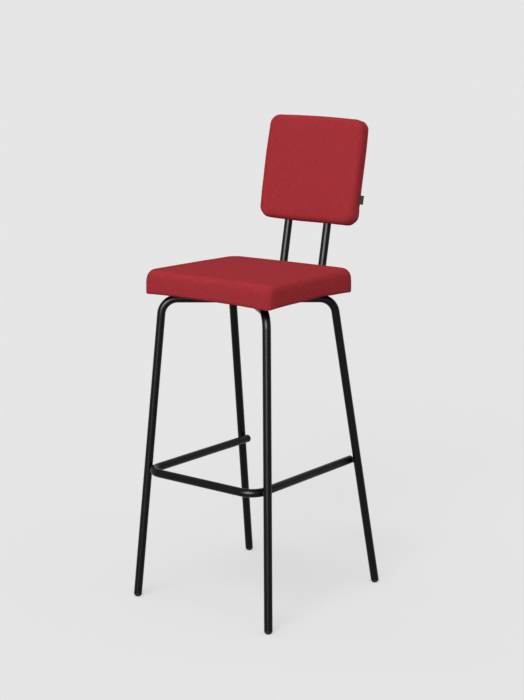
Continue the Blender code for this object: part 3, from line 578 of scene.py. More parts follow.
def build_floor():
    """Pale studio floor: paint that takes the shadows, under an even pale glow seen directly.

    The light that the floor sends back to the object is that of a greyer paint.
    """
    half = FLOOR_SIZE / 2
    floor = from_points(
        "studio_floor", [(-half, -half, 0), (half, -half, 0), (half, half, 0), (-half, half, 0)],
        faces=[(0, 1, 2, 3)])
    made = bpy.data.materials.new("studio_floor")
    tree = emptied(made)
    seen = seen_directly(tree)
    tint = add_node(
        tree, "ShaderNodeMix", {"A": FLOOR_BOUNCE, "B": FLOOR_PAINT}, {"Factor": seen},
        data_type="RGBA")
    paint = add_node(tree, "ShaderNodeBsdfDiffuse", links={"Color": tint.outputs["Result"]})
    glow = add_node(tree, "ShaderNodeEmission", {"Color": FLOOR_GLOW, "Strength": 1.0})
    share = add_node(
        tree, "ShaderNodeMath", {1: 1 - FLOOR_SHADE}, {0: seen}, operation="MULTIPLY")
    end_shading(tree, "ShaderNodeOutputMaterial", share.outputs["Value"], paint, glow)
    floor.data.materials.append(made)


def add_sun(name, azimuth, elevation, strength, width):
    """A soft distant lamp; its angles are in degrees, and say where it shines from."""
    data = bpy.data.lights.new(name, "SUN")
    data.energy = strength
    data.angle = radians(width)
    lamp = link(name, data)
    lamp.rotation_euler = (pi / 2 - radians(elevation), 0, radians(azimuth))
    return lamp


def build_lights():
    """Fill, key and overhead lamps, and a strip lamp that only shows as a streak in gloss."""
    build_world()
    fill = add_sun("fill_lamp", azimuth=15, elevation=32, strength=1.25, width=170)
    fill.visible_glossy = False
    add_sun("key_lamp", azimuth=20, elevation=28, strength=1.25, width=38)
    add_sun("overhead_lamp", azimuth=6, elevation=75, strength=0.33, width=13)
    strip = add_sun("strip_lamp", azimuth=20, elevation=22, strength=12.0, width=46)
    strip.visible_diffuse = False


def plain_mesh(item, name):
    """The evaluated shape of an object as a plain mesh object; the object itself goes."""
    bpy.context.view_layer.update()
    graph = bpy.context.evaluated_depsgraph_get()
    mesh = bpy.data.meshes.new_from_object(item.evaluated_get(graph), depsgraph=graph)
    mesh.transform(item.matrix_world)
    bpy.data.objects.remove(item, do_unlink=True)
    mesh.name = name
    return link(name, mesh)


def dress(piece, slot, *nodes, finish=None):
    """Gives a piece its place in the frame, and its slot's finish unless another is given."""
    piece.data.materials.clear()
    piece.data.materials.append(finish or FINISHES[slot])
    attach(piece, "root")
    if nodes:
        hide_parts(*nodes)


def modified(piece, kind, **settings):
    """The piece as it is with a modifier of that kind."""
    modifier = piece.modifiers.new(kind.lower(), kind)
    for name, value in settings.items():
        setattr(modifier, name, value)
    return plain_mesh(piece, piece.name)


def cut_away(piece, cutter):
    made = modified(piece, "BOOLEAN", operation="DIFFERENCE", solver="EXACT", object=cutter)
    bpy.data.objects.remove(cutter, do_unlink=True)
    return made


def from_shape(name, shape):
    """The shape of a bmesh as an object; the bmesh goes."""
    mesh = bpy.data.meshes.new(name)
    shape.to_mesh(mesh)
    shape.free()
    return link(name, mesh)


def soften(piece, sharp_angle):
    """Shades a piece smooth but for its sharp edges."""
    piece.data.shade_smooth()
    piece.data.set_sharp_from_angle(angle=sharp_angle)


def thicken(piece, thickness, offset):
    """The piece with a wall, to its outside at an offset of 1 and its inside at -1."""
    return modified(piece, "SOLIDIFY", thickness=thickness, offset=offset)


def top_corner(side_x, side_y):
    return Vector((side_x * TOP_HALF_WIDTH, side_y * TOP_HALF_DEPTH + SHIFT, TOP_TUBE_HEIGHT))


def foot_point(side_x, side_y):
    reach = -FRONT_FOOT_REACH if side_y < 0 else REAR_FOOT_REACH
    return Vector((side_x * FOOT_HALF_WIDTH, reach + SHIFT, 0))


def leg_direction(*sides):
    return (top_corner(*sides) - foot_point(*sides)).normalized()


def leg_end(*sides):
    return foot_point(*sides) + leg_direction(*sides) * (GLIDE_HEAD_HEIGHT + FIT_GAP)


def leg_point_at(side_x, side_y, height):
    return foot_point(side_x, side_y).lerp(top_corner(side_x, side_y), height / TOP_TUBE_HEIGHT)


def bend_path(corners):
    """Points along straight runs between the corners, with an arc at each inner corner."""
    points = [corners[0]]
    for before, corner, after in zip(corners, corners[1:], corners[2:]):
        to_before = (before - corner).normalized()
        to_after = (after - corner).normalized()
        half_angle = to_before.angle(to_after) / 2
        middle = corner + (to_before + to_after).normalized() * (BEND_RADIUS / sin(half_angle))
        arm = corner + to_before * (BEND_RADIUS / tan(half_angle)) - middle
        turn = pi - 2 * half_angle
        axis = to_after.cross(to_before)
        for step in range(BEND_STEPS + 1):
            points.append(middle + Matrix.Rotation(turn * step / BEND_STEPS, 3, axis) @ arm)
    points.append(corners[-1])
    return points


def bars(name, runs, radius, resolution, capped):
    """Round bars or open pipes along runs of points."""
    data = bpy.data.curves.new(name, "CURVE")
    data.dimensions = "3D"
    data.bevel_depth = radius
    data.bevel_resolution = resolution
    data.use_fill_caps = capped
    for points in runs:
        spline = data.splines.new("POLY")
        spline.points.add(len(points) - 1)
        for spot, point in zip(spline.points, points):
            spot.co = (*point, 1.0)
    return plain_mesh(link(name, data), name)


def swept(name, runs, radius, capped):
    """Bars or pipes as fine as the tubes, with their faces joined and shaded smooth."""
    made = bars(name, runs, radius, TUBE_BEVEL_RESOLUTION, capped)
    welded = bmesh.new()
    welded.from_mesh(made.data)
    bmesh.ops.remove_doubles(welded, verts=welded.verts, dist=MERGE_DISTANCE)
    bmesh.ops.recalc_face_normals(welded, faces=welded.faces)
    welded.to_mesh(made.data)
    welded.free()
    made.data.shade_smooth()
    return made


def steel_tube(name, corners):
    """A bent tube with its wall, open at both ends."""
    made = thicken(swept(name, [bend_path(corners)], TUBE_RADIUS, False), TUBE_WALL, -1)
    made.data.set_sharp_from_angle(angle=TUBE_SHARP_ANGLE)
    return made


def coped(tube, middle, direction):
    """The tube with its end shaped to lie against the side of a tube through the middle."""
    along = direction * COPE_REACH
    made = cut_away(
        tube, swept("cope", [[middle - along, middle + along]], TUBE_RADIUS + FIT_GAP, True))
    made.data.set_sharp_from_angle(angle=TUBE_SHARP_ANGLE)
    return made


def diagonal(side_x):
    """The direction of a crossing tube, to the rear and to that side."""
    return (top_corner(side_x, 1) - top_corner(-side_x, -1)).normalized()


def build_leg_loops():
    through = steel_tube("through_loop_tube", [
        leg_end(-1, -1), top_corner(-1, -1), top_corner(1, 1), leg_end(1, 1)])
    dress(through, "powder_coat", "through_leg_loop")
    for name, *sides in (("front_right", 1, -1), ("rear_left", -1, 1)):
        half = steel_tube(f"{name}_tube", [leg_end(*sides), top_corner(*sides), CROSSING])
        half = coped(half, CROSSING, diagonal(1))
        dress(half, "powder_coat", f"{name}_half_loop")


def turned(name, profile, frame_matrix):
    """A mesh turned about the frame's Z from (radius, height) points, top to bottom."""
    shape = bmesh.new()
    verts = [shape.verts.new((radius, 0, height)) for radius, height in profile]
    edges = [shape.edges.new(pair) for pair in zip(verts, verts[1:])]
    bmesh.ops.spin(
        shape, geom=verts + edges, cent=(0, 0, 0), axis=UP, angle=2 * pi,
        steps=TURNED_SIDES, use_merge=True)
    bmesh.ops.remove_doubles(shape, verts=shape.verts, dist=MERGE_DISTANCE)
    bmesh.ops.recalc_face_normals(shape, faces=shape.faces)
    made = from_shape(name, shape)
    made.data.transform(frame_matrix)
    soften(made, SMALL_SHARP_ANGLE)
    return made


def axis_frame(place, up):
    return Matrix.Translation(place) @ up.to_track_quat("Z", "Y").to_matrix().to_4x4()


def arc_profile(middle_height, radius, depth, start, end, steps=10):
    """Points of a quarter dome between two angles, each as (radius, height)."""
    angles = [start + (end - start) * step / steps for step in range(steps + 1)]
    return [(radius * cos(angle), middle_height + depth * sin(angle)) for angle in angles]


def build_glides():
    """Domed feet with a small lip where they meet the tube, worn flat on the floor."""
    top = GLIDE_HEAD_HEIGHT + GLIDE_SHANK_LENGTH
    profile = [
        (0.0, top), (SHANK_RADIUS, top), (SHANK_RADIUS, GLIDE_HEAD_HEIGHT),
        (TUBE_RADIUS - GLIDE_LIP, GLIDE_HEAD_HEIGHT),
        (TUBE_RADIUS, GLIDE_HEAD_HEIGHT - GLIDE_LIP)]
    depth = GLIDE_DOME_HEIGHT + GLIDE_FLAT_DEPTH
    profile += arc_profile(GLIDE_DOME_HEIGHT, TUBE_RADIUS, depth, 0, -pi / 2)
    profile[-1] = (0.0, profile[-1][1])
    for name, *sides in CORNERS:
        place = axis_frame(foot_point(*sides), leg_direction(*sides))
        glide = turned(f"{name}_foot", profile, place)
        shape = bmesh.new()
        shape.from_mesh(glide.data)
        everything = shape.verts[:] + shape.edges[:] + shape.faces[:]
        bmesh.ops.bisect_plane(
            shape, geom=everything, plane_co=(0, 0, 0), plane_no=(0, 0, -1), clear_outer=True)
        bmesh.ops.holes_fill(shape, edges=[edge for edge in shape.edges if edge.is_boundary])
        shape.to_mesh(glide.data)
        shape.free()
        soften(glide, SMALL_SHARP_ANGLE)
        dress(glide, "black_plastic", f"glide_{name}")


def footrest_corners():
    """The footrest's ends and corners: each bend lies against a front leg, each end against a rear."""
    touch = 2 * TUBE_RADIUS + FIT_GAP
    front_leg = leg_point_at(1, -1, FOOTREST_HEIGHT)
    rear_leg = leg_point_at(1, 1, FOOTREST_HEIGHT)
    front_reach = -FOOTREST_REACH + SHIFT
    past_bend_middle = front_reach + BEND_RADIUS - front_leg.y
    from_bend_middle = sqrt((BEND_RADIUS + touch) ** 2 - past_bend_middle ** 2)
    front_half = front_leg.x - from_bend_middle + BEND_RADIUS
    rear_half = rear_leg.x - touch
    end_reach = rear_leg.y - FOOTREST_END_INSET
    return [
        Vector((x, y, FOOTREST_HEIGHT)) for x, y in (
            (-rear_half, end_reach), (-front_half, front_reach),
            (front_half, front_reach), (rear_half, end_reach))]


def build_plug(name, node, tube_end, outward):
    profile = arc_profile(FIT_GAP, TUBE_RADIUS, PLUG_DOME_HEIGHT, pi / 2, 0)
    profile[0] = (0.0, profile[0][1])
    profile += [
        (SHANK_RADIUS, FIT_GAP), (SHANK_RADIUS, -PLUG_SHANK_LENGTH), (0.0, -PLUG_SHANK_LENGTH)]
    plug = turned(name, profile, axis_frame(tube_end, outward))
    dress(plug, "black_plastic", node)


def build_footrest():
    corners = footrest_corners()
    dress(steel_tube("footrest_tube", corners), "powder_coat", "footrest")
    for side, end, corner in (("left", corners[0], corners[1]), ("right", corners[3], corners[2])):
        build_plug(f"{side}_footrest_end", f"footrest_plug_{side}", end, (end - corner).normalized())


POST_UP = Vector((0, sin(POST_LEAN), cos(POST_LEAN)))
BACK_OUT = Vector((0, cos(POST_LEAN), -sin(POST_LEAN)))
BACK_MIDDLE_ALONG_POST = (BACK_MIDDLE_HEIGHT - TOP_TUBE_HEIGHT) / cos(POST_LEAN)


def post_corner(side):
    return Vector((side * POST_HALF_SPACING, POST_CORNER_REACH + SHIFT, TOP_TUBE_HEIGHT))


def post_start(side):
    reach = POST_HALF_SPACING * TOP_HALF_DEPTH / TOP_HALF_WIDTH
    return Vector((side * POST_HALF_SPACING, reach + SHIFT, TOP_TUBE_HEIGHT))


def back_frame():
    """The backrest's own frame: X across, Y up its face, Z out of its front."""
    middle = post_corner(0) + POST_UP * BACK_MIDDLE_ALONG_POST - BACK_OUT * BACK_MIDDLE_BEFORE_POST
    axes = Matrix((Vector((1, 0, 0)), POST_UP, -BACK_OUT)).transposed()
    return Matrix.Translation(middle) @ axes.to_4x4()


def build_posts():
    length = BACK_MIDDLE_ALONG_POST + POST_END_ABOVE_BACK_MIDDLE
    for name, side in LEFT_RIGHT:
        start = post_start(side)
        end = post_corner(side) + POST_UP * length
        post = steel_tube(f"{name}_post_tube", [start, post_corner(side), end])
        post = coped(post, start, diagonal(side))
        dress(post, "powder_coat", f"back_post_{name}")


def round_off(first, second, radius):
    """Moves two distances from a sharp edge onto an arc of the radius."""
    if first >= radius or second >= radius:
        return first, second
    across = radius - first
    along = radius - second
    length = hypot(across, along)
    if length == 0:
        return first, second
    shrink = max(across, along) / length
    return radius - across * shrink, radius - along * shrink


def spaced(low, high, extra):
    """Even places from low to high, with the extra places among them in place of their nearest."""
    count = round((high - low) / CUSHION_SPACING)
    even = [low + (high - low) * step / count for step in range(count + 1)]
    room = CUSHION_SPACING / 3
    kept = [place for place in even if all(abs(place - one) > room for one in extra)]
    return sorted(kept + list(extra))


def cushion_block(name, columns, rows, levels):
    """A closed block of quads whose grid lines lie at the columns, rows and levels."""
    shape = bmesh.new()
    found = {}

    def corner(spot):
        if spot not in found:
            across, along, level = spot
            found[spot] = shape.verts.new((columns[across], rows[along], levels[level]))
        return found[spot]

    def face(forward, *spots):
        ring = [corner(spot) for spot in spots]
        shape.faces.new(ring if forward else ring[::-1])

    wide, deep, high = len(columns) - 1, len(rows) - 1, len(levels) - 1
    for i in range(wide):
        for j in range(deep):
            for k in (0, high):
                face(k > 0, (i, j, k), (i + 1, j, k), (i + 1, j + 1, k), (i, j + 1, k))
    for k in range(high):
        for i in range(wide):
            for j in (0, deep):
                face(j == 0, (i, j, k), (i + 1, j, k), (i + 1, j, k + 1), (i, j, k + 1))
        for j in range(deep):
            for i in (0, wide):
                face(i > 0, (i, j, k), (i, j + 1, k), (i, j + 1, k + 1), (i, j, k + 1))
    return from_shape(name, shape)


def side_of(value):
    return 1 if value > 0 else -1


def blended(start, end, share):
    return start + share * (end - start)


def rounded(place, half_x, half_y, height, corner_radius, top_radius, bottom_radius):
    """Where a point of a sharp block lies once its edges and upright corners are rounded."""
    x, y, z = place
    inset = min(half_x - abs(x), half_y - abs(y))
    drawn, from_top = round_off(inset, height - z, top_radius)
    drawn, z = round_off(drawn, height - from_top, bottom_radius)
    if drawn != inset:
        x *= (half_x - drawn) / (half_x - inset)
        y *= (half_y - drawn) / (half_y - inset)
    side_x, side_y = round_off(
        half_x - drawn - abs(x), half_y - drawn - abs(y), max(corner_radius - drawn, 0))
    x = (half_x - drawn - side_x) * side_of(x)
    y = (half_y - drawn - side_y) * side_of(y)
    return Vector((x, y, z))


def bump_at(distance, reach):
    """A smooth hump, one at no distance and near nothing at twice the reach."""
    return exp(-(distance / reach) ** 2)


def ease(value):
    """A smooth step from nought to one."""
    value = min(max(value, 0), 1)
    return value * value * (3 - 2 * value)


def places(mesh):
    flat = np.zeros(len(mesh.vertices) * 3)
    mesh.vertices.foreach_get("co", flat)
    return flat.reshape(-1, 3)


def set_places(mesh, points):
    mesh.vertices.foreach_set("co", points.ravel())
    mesh.update()


def swell(piece, held, most):
    """Presses the cover out from inside as cloth, with the held points fast.

    The result is scaled until the furthest point has moved by the most it may.
    """
    group = piece.vertex_groups.new(name="held")
    group.add([int(index) for index in np.flatnonzero(held)], 1.0, "REPLACE")
    cloth = piece.modifiers.new("cloth", "CLOTH")
    cloth.settings.vertex_group_mass = "held"
    for name, value in CLOTH_SETTINGS.items():
        setattr(cloth.settings, name, value)
    cloth.settings.effector_weights.gravity = 0.0
    cloth.collision_settings.use_collision = False
    cloth.point_cache.frame_start = 1
    cloth.point_cache.frame_end = CLOTH_FRAMES
    scene = bpy.context.scene
    for step in range(CLOTH_FRAMES):
        scene.frame_set(step + 1)
    pressed = piece.evaluated_get(bpy.context.evaluated_depsgraph_get())
    moved = places(pressed.to_mesh()) - places(piece.data)
    pressed.to_mesh_clear()
    piece.modifiers.remove(cloth)
    piece.vertex_groups.clear()
    scene.frame_set(1)
    furthest = np.linalg.norm(moved, axis=1).max()
    set_places(piece.data, places(piece.data) + moved * (most / furthest))


def lay_cloth(mesh, half_x, half_y, height):
    """A UV map in metres that wraps the cloth from the top panel down the four sides."""
    uv = mesh.uv_layers.new(name="cloth")
    for face in mesh.polygons:
        normal = face.normal
        for loop in face.loop_indices:
            place = mesh.vertices[mesh.loops[loop].vertex_index].co
            down = height - place.z
            if abs(normal.z) >= max(abs(normal.x), abs(normal.y)):
                spot = (place.x, place.y)
            elif abs(normal.x) > abs(normal.y):
                spot = (half_x + down if normal.x > 0 else -half_x - down, place.y)
            else:
                spot = (place.x, half_y + down if normal.y > 0 else -half_y - down)
            uv.data[loop].uv = spot


def pleat_rise(past):
    """How far the cover stands out beside a corner's folded edge, at a distance past it."""
    if past <= 0:
        return PLEAT_STEP * bump_at(past, PLEAT_FROM_CORNER / 2)
    return -PLEAT_GROOVE * bump_at(past, PLEAT_FROM_CORNER / 8)


def pleated(point, block, side_x, side_y):
    """The point of a seat corner with its fold: on the side faces in front, on the rear face behind."""
    if side_y < 0:
        past = block.y * side_y - (SEAT_HALF_DEPTH - PLEAT_FROM_CORNER)
        on_face = abs(block.x) > SEAT_HALF_WIDTH - MERGE_DISTANCE
        out = Vector((side_x, 0, 0))
    else:
        past = block.x * side_x - (SEAT_HALF_WIDTH - PLEAT_FROM_CORNER)
        on_face = abs(block.y) > SEAT_HALF_DEPTH - MERGE_DISTANCE
        out = Vector((0, side_y, 0))
    if not on_face:
        return point
    share = ease((PLEAT_TOP - point.z) / SEAT_TOP_EDGE_RADIUS)
    return point + out * (pleat_rise(-past) * share)


def seat_place(block):
    """Where a point of the seat's block lies on the seat."""
    across = (block.x / SEAT_HALF_WIDTH) ** 2
    along = (block.y / SEAT_HALF_DEPTH) ** 2
    bottom_radius = blended(
        SEAT_BOTTOM_EDGE_RADIUS, SEAT_BOTTOM_CORNER_EDGE_RADIUS, (across * along) ** 3)
    corner_radius = blended(
        SEAT_CORNER_RADIUS, SEAT_TOP_CORNER_RADIUS, ease(2 * block.z / SEAT_HEIGHT - 1))
    point = rounded(
        block, SEAT_HALF_WIDTH, SEAT_HALF_DEPTH, SEAT_HEIGHT,
        corner_radius, SEAT_TOP_EDGE_RADIUS, bottom_radius)
    level = point.z / SEAT_HEIGHT
    side_x, side_y = side_of(block.x), side_of(block.y)
    rim = max(across, along) ** 8
    if across > along:
        point.x += side_x * SEAT_SIDE_BOW * rim * (1 - along)
    if along > across:
        point.y += side_y * SEAT_SIDE_BOW * rim * (1 - across)
    point = pleated(point, block, side_x, side_y)
    point.z += SEAT_CROWN * (1 - across) * (1 - along) * level
    point.z += SEAT_TOP_RISE * (1 - (across * along) ** 4) * level
    point.z -= SEAT_REAR_LEFT_SAG * level * (
        (1 - block.x / SEAT_HALF_WIDTH) * (1 + block.y / SEAT_HALF_DEPTH) / 4)
    lift = -SEAT_CORNER_DROOP * (across * along) ** SEAT_DROOP_POWER
    if block.x > 0 and across > along:
        lift += SEAT_SIDE_LIFT * bump_at(point.y - SEAT_HALF_DEPTH / 4, SEAT_SIDE_LIFT_REACH)
    point.z += rim * lift * (1 - level)
    if block.z == 0:
        from_x = SEAT_HALF_WIDTH - abs(point.x)
        from_y = SEAT_HALF_DEPTH - abs(point.y)
        near = ease(1 - hypot(from_x, from_y) / GATHER_REACH)
        point.z -= GATHER_DEPTH * near * (
            0.5 + 0.5 * sin(GATHER_WAVES * atan2(from_y, from_x)))
    out = Vector((point.x, point.y, 0)).normalized()
    return point + out * (SEAT_UNEVENNESS * noise.noise(point * SEAT_HUMPS_PER_METRE))


def shaped_cushion(piece, place_of, held, swelling, cloth_sizes, frame_matrix):
    """The block bent to a cushion's shape, filled, dressed in its cloth's map and put in place."""
    for vert in piece.data.vertices:
        vert.co = place_of(Vector(vert.co))
    swell(piece, held, swelling)
    piece = modified(piece, "SUBSURF", levels=1, render_levels=1)
    lay_cloth(piece.data, *cloth_sizes)
    piece.data.transform(frame_matrix)
    return piece


def build_seat():
    """The seat's cover with its foam inside, as one cushion with a fold at each corner."""
    beside_fold = [PLEAT_FROM_CORNER + offset for offset in FOLD_LINES]
    columns = [side * (SEAT_HALF_WIDTH - inset) for inset in beside_fold for side in (-1, 1)]
    rows = [side * (SEAT_HALF_DEPTH - inset) for inset in beside_fold for side in (-1, 1)]
    piece = cushion_block(
        "seat_upholstery", spaced(-SEAT_HALF_WIDTH, SEAT_HALF_WIDTH, columns),
        spaced(-SEAT_HALF_DEPTH, SEAT_HALF_DEPTH, rows), spaced(0, SEAT_HEIGHT, ()))
    held = [vert.co.z < CUSHION_SPACING for vert in piece.data.vertices]
    piece = shaped_cushion(
        piece, seat_place, held, SEAT_SWELL, (SEAT_HALF_WIDTH, SEAT_HALF_DEPTH, SEAT_HEIGHT),
        Matrix.Translation((0, SEAT_MIDDLE_REACH + SHIFT, SEAT_BOTTOM)))
    piece.data.shade_smooth()
    dress(piece, "red_cloth", "seat_cover", "seat_foam")


SEAM_LEVEL = BACK_THICKNESS / 2 - BACK_SEAM_BEHIND_MIDDLE
TAPE_TAB_MIDDLE = TAPE_TAB_RISE + TAPE_TAB_HEIGHT / 2 - BACK_HALF_HEIGHT


def back_place(block):
    """Where a point of the backrest's block lies, with its seam, bowed sides and full corner."""
    frontness = block.z / BACK_THICKNESS
    rear_radius = BACK_REAR_TOP_CORNER_RADIUS if block.y > 0 else BACK_REAR_CORNER_RADIUS
    corner_radius = blended(rear_radius, BACK_FRONT_CORNER_RADIUS, frontness)
    across = block.x / BACK_HALF_WIDTH
    up = block.y / BACK_HALF_HEIGHT
    rim = max(abs(across), abs(up)) ** 6
    point = rounded(
        block, BACK_HALF_WIDTH, BACK_HALF_HEIGHT, BACK_THICKNESS,
        corner_radius, BACK_EDGE_RADIUS, BACK_EDGE_RADIUS)
    through = point.z - BACK_THICKNESS / 2
    bow = blended(BACK_REAR_BOW, BACK_FRONT_BOW, ease(frontness))
    out = Vector((point.x, point.y, 0)).normalized()
    around = atan2(point.y, point.x) * BACK_HALF_WIDTH
    wander = PUCKER_WANDER * noise.noise(point * PUCKER_HUMPS_PER_METRE)
    pucker = PUCKER_DEPTH * sin(2 * pi * around / PUCKER_PITCH + wander)
    at_seam = bump_at(point.z - SEAM_LEVEL, SEAM_HALF_WIDTH)
    beside_seam = bump_at(point.z - SEAM_LEVEL, 4 * SEAM_HALF_WIDTH)
    point -= out * rim * (SEAM_DEPTH * at_seam + pucker * beside_seam * (1 - at_seam))
    point.x += bow * across * (1 - up ** 4)
    point.y += BACK_END_BOW * up * (1 - across ** 2)
    point.y -= BACK_TOP_SLANT * across * (1 + up) / 2 + BACK_BOTTOM_SAG * (1 - up) / 2
    point.z += 2 * BACK_CROWN * (1 - across ** 2) * (1 - up ** 2) * through / BACK_THICKNESS
    behind = 1 - ease((frontness - FRONT_STARTS) * 2)
    from_ear = hypot(BACK_HALF_WIDTH - block.x, EAR_RISE - BACK_HALF_HEIGHT - block.y)
    ear = bump_at(from_ear, EAR_REACH)
    point.x += EAR_OUT * ear * behind
    point.y -= EAR_DOWN * ear
    from_top = hypot(BACK_HALF_WIDTH - abs(block.x), BACK_HALF_HEIGHT - block.y)
    point.y -= TOP_CORNER_DROOP * behind * bump_at(from_top, TOP_CORNER_REACH)
    below_tab = TAPE_TAB_MIDDLE - TAPE_TAB_HEIGHT / 2 - DENT_REACH
    if block.x > BACK_HALF_WIDTH - MERGE_DISTANCE:
        point.x -= DENT_DEPTH * behind * bump_at(block.y - below_tab, DENT_REACH)
    if block.y < MERGE_DISTANCE - BACK_HALF_HEIGHT:
        for side in (-1, 1):
            from_post = hypot(point.x - side * POST_HALF_SPACING, through + BACK_MIDDLE_BEFORE_POST)
            point.y += POST_DIMPLE_DEPTH * bump_at(from_post, POST_DIMPLE_REACH)
    shake = noise.noise(point * BACK_HUMPS_PER_METRE)
    return Vector((point.x, point.y, point.z - BACK_THICKNESS / 2)) + out * (
        BACK_UNEVENNESS * shake)


def cut_post_channels(piece):
    """Opens the bottom of the backrest for the posts and their plugs."""
    top = BACK_MIDDLE_ALONG_POST + POST_END_ABOVE_BACK_MIDDLE + PLUG_DOME_HEIGHT + FIT_GAP
    low = BACK_MIDDLE_ALONG_POST - BACK_HALF_HEIGHT * CHANNEL_START
    runs = [
        [post_corner(side) + POST_UP * low, post_corner(side) + POST_UP * top]
        for side in (-1, 1)]
    return cut_away(piece, swept("post_channels", runs, TUBE_RADIUS + FIT_GAP, True))


def build_back():
    """The backrest's cover with its foams inside; its rear panel is sewn in behind the middle."""
    piece = cushion_block(
        "back_upholstery", spaced(-BACK_HALF_WIDTH, BACK_HALF_WIDTH, ()),
        spaced(-BACK_HALF_HEIGHT, BACK_HALF_HEIGHT, ()),
        spaced(0, BACK_THICKNESS, [SEAM_LEVEL + offset for offset in SEAM_LINES]))
    held = [
        abs(vert.co.z - SEAM_LEVEL) < 2 * SEAM_HALF_WIDTH
        and (abs(vert.co.x) > BACK_HALF_WIDTH - FIT_GAP or abs(vert.co.y) > BACK_HALF_HEIGHT - FIT_GAP)
        for vert in piece.data.vertices]
    piece = shaped_cushion(
        piece, back_place, held, BACK_SWELL,
        (BACK_HALF_WIDTH, BACK_HALF_HEIGHT, BACK_THICKNESS / 2), back_frame())
    piece = cut_post_channels(piece)
    piece.data.shade_smooth()
    dress(piece, "red_cloth", "back_cover", "back_foam_front", "back_foam_rear")


def grown(name, source, tree, values):
    """The plain mesh that a node tree makes from the source object, which goes."""
    modifier = source.modifiers.new("grow", "NODES")
    modifier.node_group = tree
    for item in tree.interface.items_tree:
        if item.in_out == "INPUT" and item.name in values:
            modifier[item.identifier] = values[item.name]
    return plain_mesh(source, name)


def new_tree(name, inputs):
    """An empty geometry tree with its named inputs; returns it and its input sockets."""
    tree = bpy.data.node_groups.new(name, "GeometryNodeTree")
    for label, kind in inputs:
        tree.interface.new_socket(label, in_out="INPUT", socket_type=f"NodeSocket{kind}")
    tree.interface.new_socket("Geometry", in_out="OUTPUT", socket_type="NodeSocketGeometry")
    return tree, add_node(tree, "NodeGroupInput").outputs


def end_tree(tree, instances, finish):
    """Ends a tree: its instances become real and take the finish."""
    real = first_of(tree, "GeometryNodeRealizeInstances", links={"Geometry": instances})
    smooth = first_of(tree, "GeometryNodeSetShadeSmooth", links={"Geometry": real})
    coat = first_of(
        tree, "GeometryNodeSetMaterial", links={"Geometry": smooth, "Material": finish})
    add_node(tree, "NodeGroupOutput", links={"Geometry": coat})


def bead_tree():
    """Weld beads: drops set close together along runs of edges, each a little unlike the next."""
    tree, given = new_tree("weld_bead", (
        ("Runs", "Geometry"), ("Bead radius", "Float"), ("Pitch", "Float"), ("Finish", "Material")))
    curve = first_of(tree, "GeometryNodeMeshToCurve", links={"Mesh": given["Runs"]})
    even = first_of(
        tree, "GeometryNodeResampleCurve", links={"Curve": curve, "Length": given["Pitch"]},
        mode="LENGTH")
    spots = add_node(
        tree, "GeometryNodeCurveToPoints", links={"Curve": even}, mode="EVALUATED").outputs
    drop = first_of(
        tree, "GeometryNodeMeshUVSphere", {"Segments": 8, "Rings": 6},
        {"Radius": given["Bead radius"]})
    size = add_node(
        tree, "FunctionNodeRandomValue", {"Seed": 4, 2: SMALLEST_BEAD, 3: LARGEST_BEAD},
        data_type="FLOAT").outputs[1]
    beads = first_of(
        tree, "GeometryNodeInstanceOnPoints", links={
            "Points": spots["Points"], "Instance": drop, "Rotation": spots["Rotation"],
            "Scale": size})
    end_tree(tree, beads, given["Finish"])
    return tree


def set_tree():
    """Sets one shape at each point, its Z along facing and its X along grain, with a slight twist."""
    tree, given = new_tree("set_in_place", (
        ("Points", "Geometry"), ("Shape", "Object"), ("Twist", "Float"), ("Finish", "Material")))
    facing, grain = (
        first_of(
            tree, "GeometryNodeInputNamedAttribute", {"Name": name}, data_type="FLOAT_VECTOR")
        for name in ("facing", "grain"))
    upright = first_of(
        tree, "FunctionNodeAlignRotationToVector", links={"Vector": facing}, axis="Z")
    along = first_of(
        tree, "FunctionNodeAlignRotationToVector", links={"Rotation": upright, "Vector": grain},
        axis="X", pivot_axis="Z")
    least = first_of(
        tree, "ShaderNodeMath", {1: -1.0}, {0: given["Twist"]}, operation="MULTIPLY")
    turn = add_node(
        tree, "FunctionNodeRandomValue", {"Seed": 7}, {2: least, 3: given["Twist"]},
        data_type="FLOAT").outputs[1]
    spin = first_of(
        tree, "FunctionNodeAxisAngleToRotation", {"Axis": (0, 0, 1)}, {"Angle": turn})
    twisted = first_of(
        tree, "FunctionNodeRotateRotation", links={"Rotation": along, "Rotate By": spin},
        rotation_space="LOCAL")
    shape = add_node(tree, "GeometryNodeObjectInfo", links={"Object": given["Shape"]})
    placed = first_of(
        tree, "GeometryNodeInstanceOnPoints", links={
            "Points": given["Points"], "Instance": shape.outputs["Geometry"],
            "Rotation": twisted})
    end_tree(tree, placed, given["Finish"])
    return tree


def set_shapes(name, shape, spots, twist, finish):
    """The shape at each (place, facing, grain), as one plain mesh; the shape itself goes."""
    source = from_points(name, [spot[0] for spot in spots])
    for label, index in (("facing", 1), ("grain", 2)):
        layer = source.data.attributes.new(label, "FLOAT_VECTOR", "POINT")
        for spot, values in zip(spots, layer.data):
            values.vector = spot[index]
    made = grown(name, source, set_tree(), {"Shape": shape, "Twist": twist, "Finish": finish})
    bpy.data.objects.remove(shape, do_unlink=True)
    return made


def tab_frame(side_x, side_y):
    """A seat tab's frame: X out along the crossing tube, Y towards its screw, Z up."""
    out = Vector((side_x * cos(DIAGONAL_ANGLE), side_y * sin(DIAGONAL_ANGLE), 0))
    middle = out * TAB_DISTANCE + Vector((0, SHIFT, TAB_BOTTOM))
    return Matrix.Translation(middle) @ Matrix((out, UP.cross(out), UP)).transposed().to_4x4()


def seat_screw_place(*sides):
    return tab_frame(*sides) @ Vector((0, TAB_SCREW_OFFSET, 0))


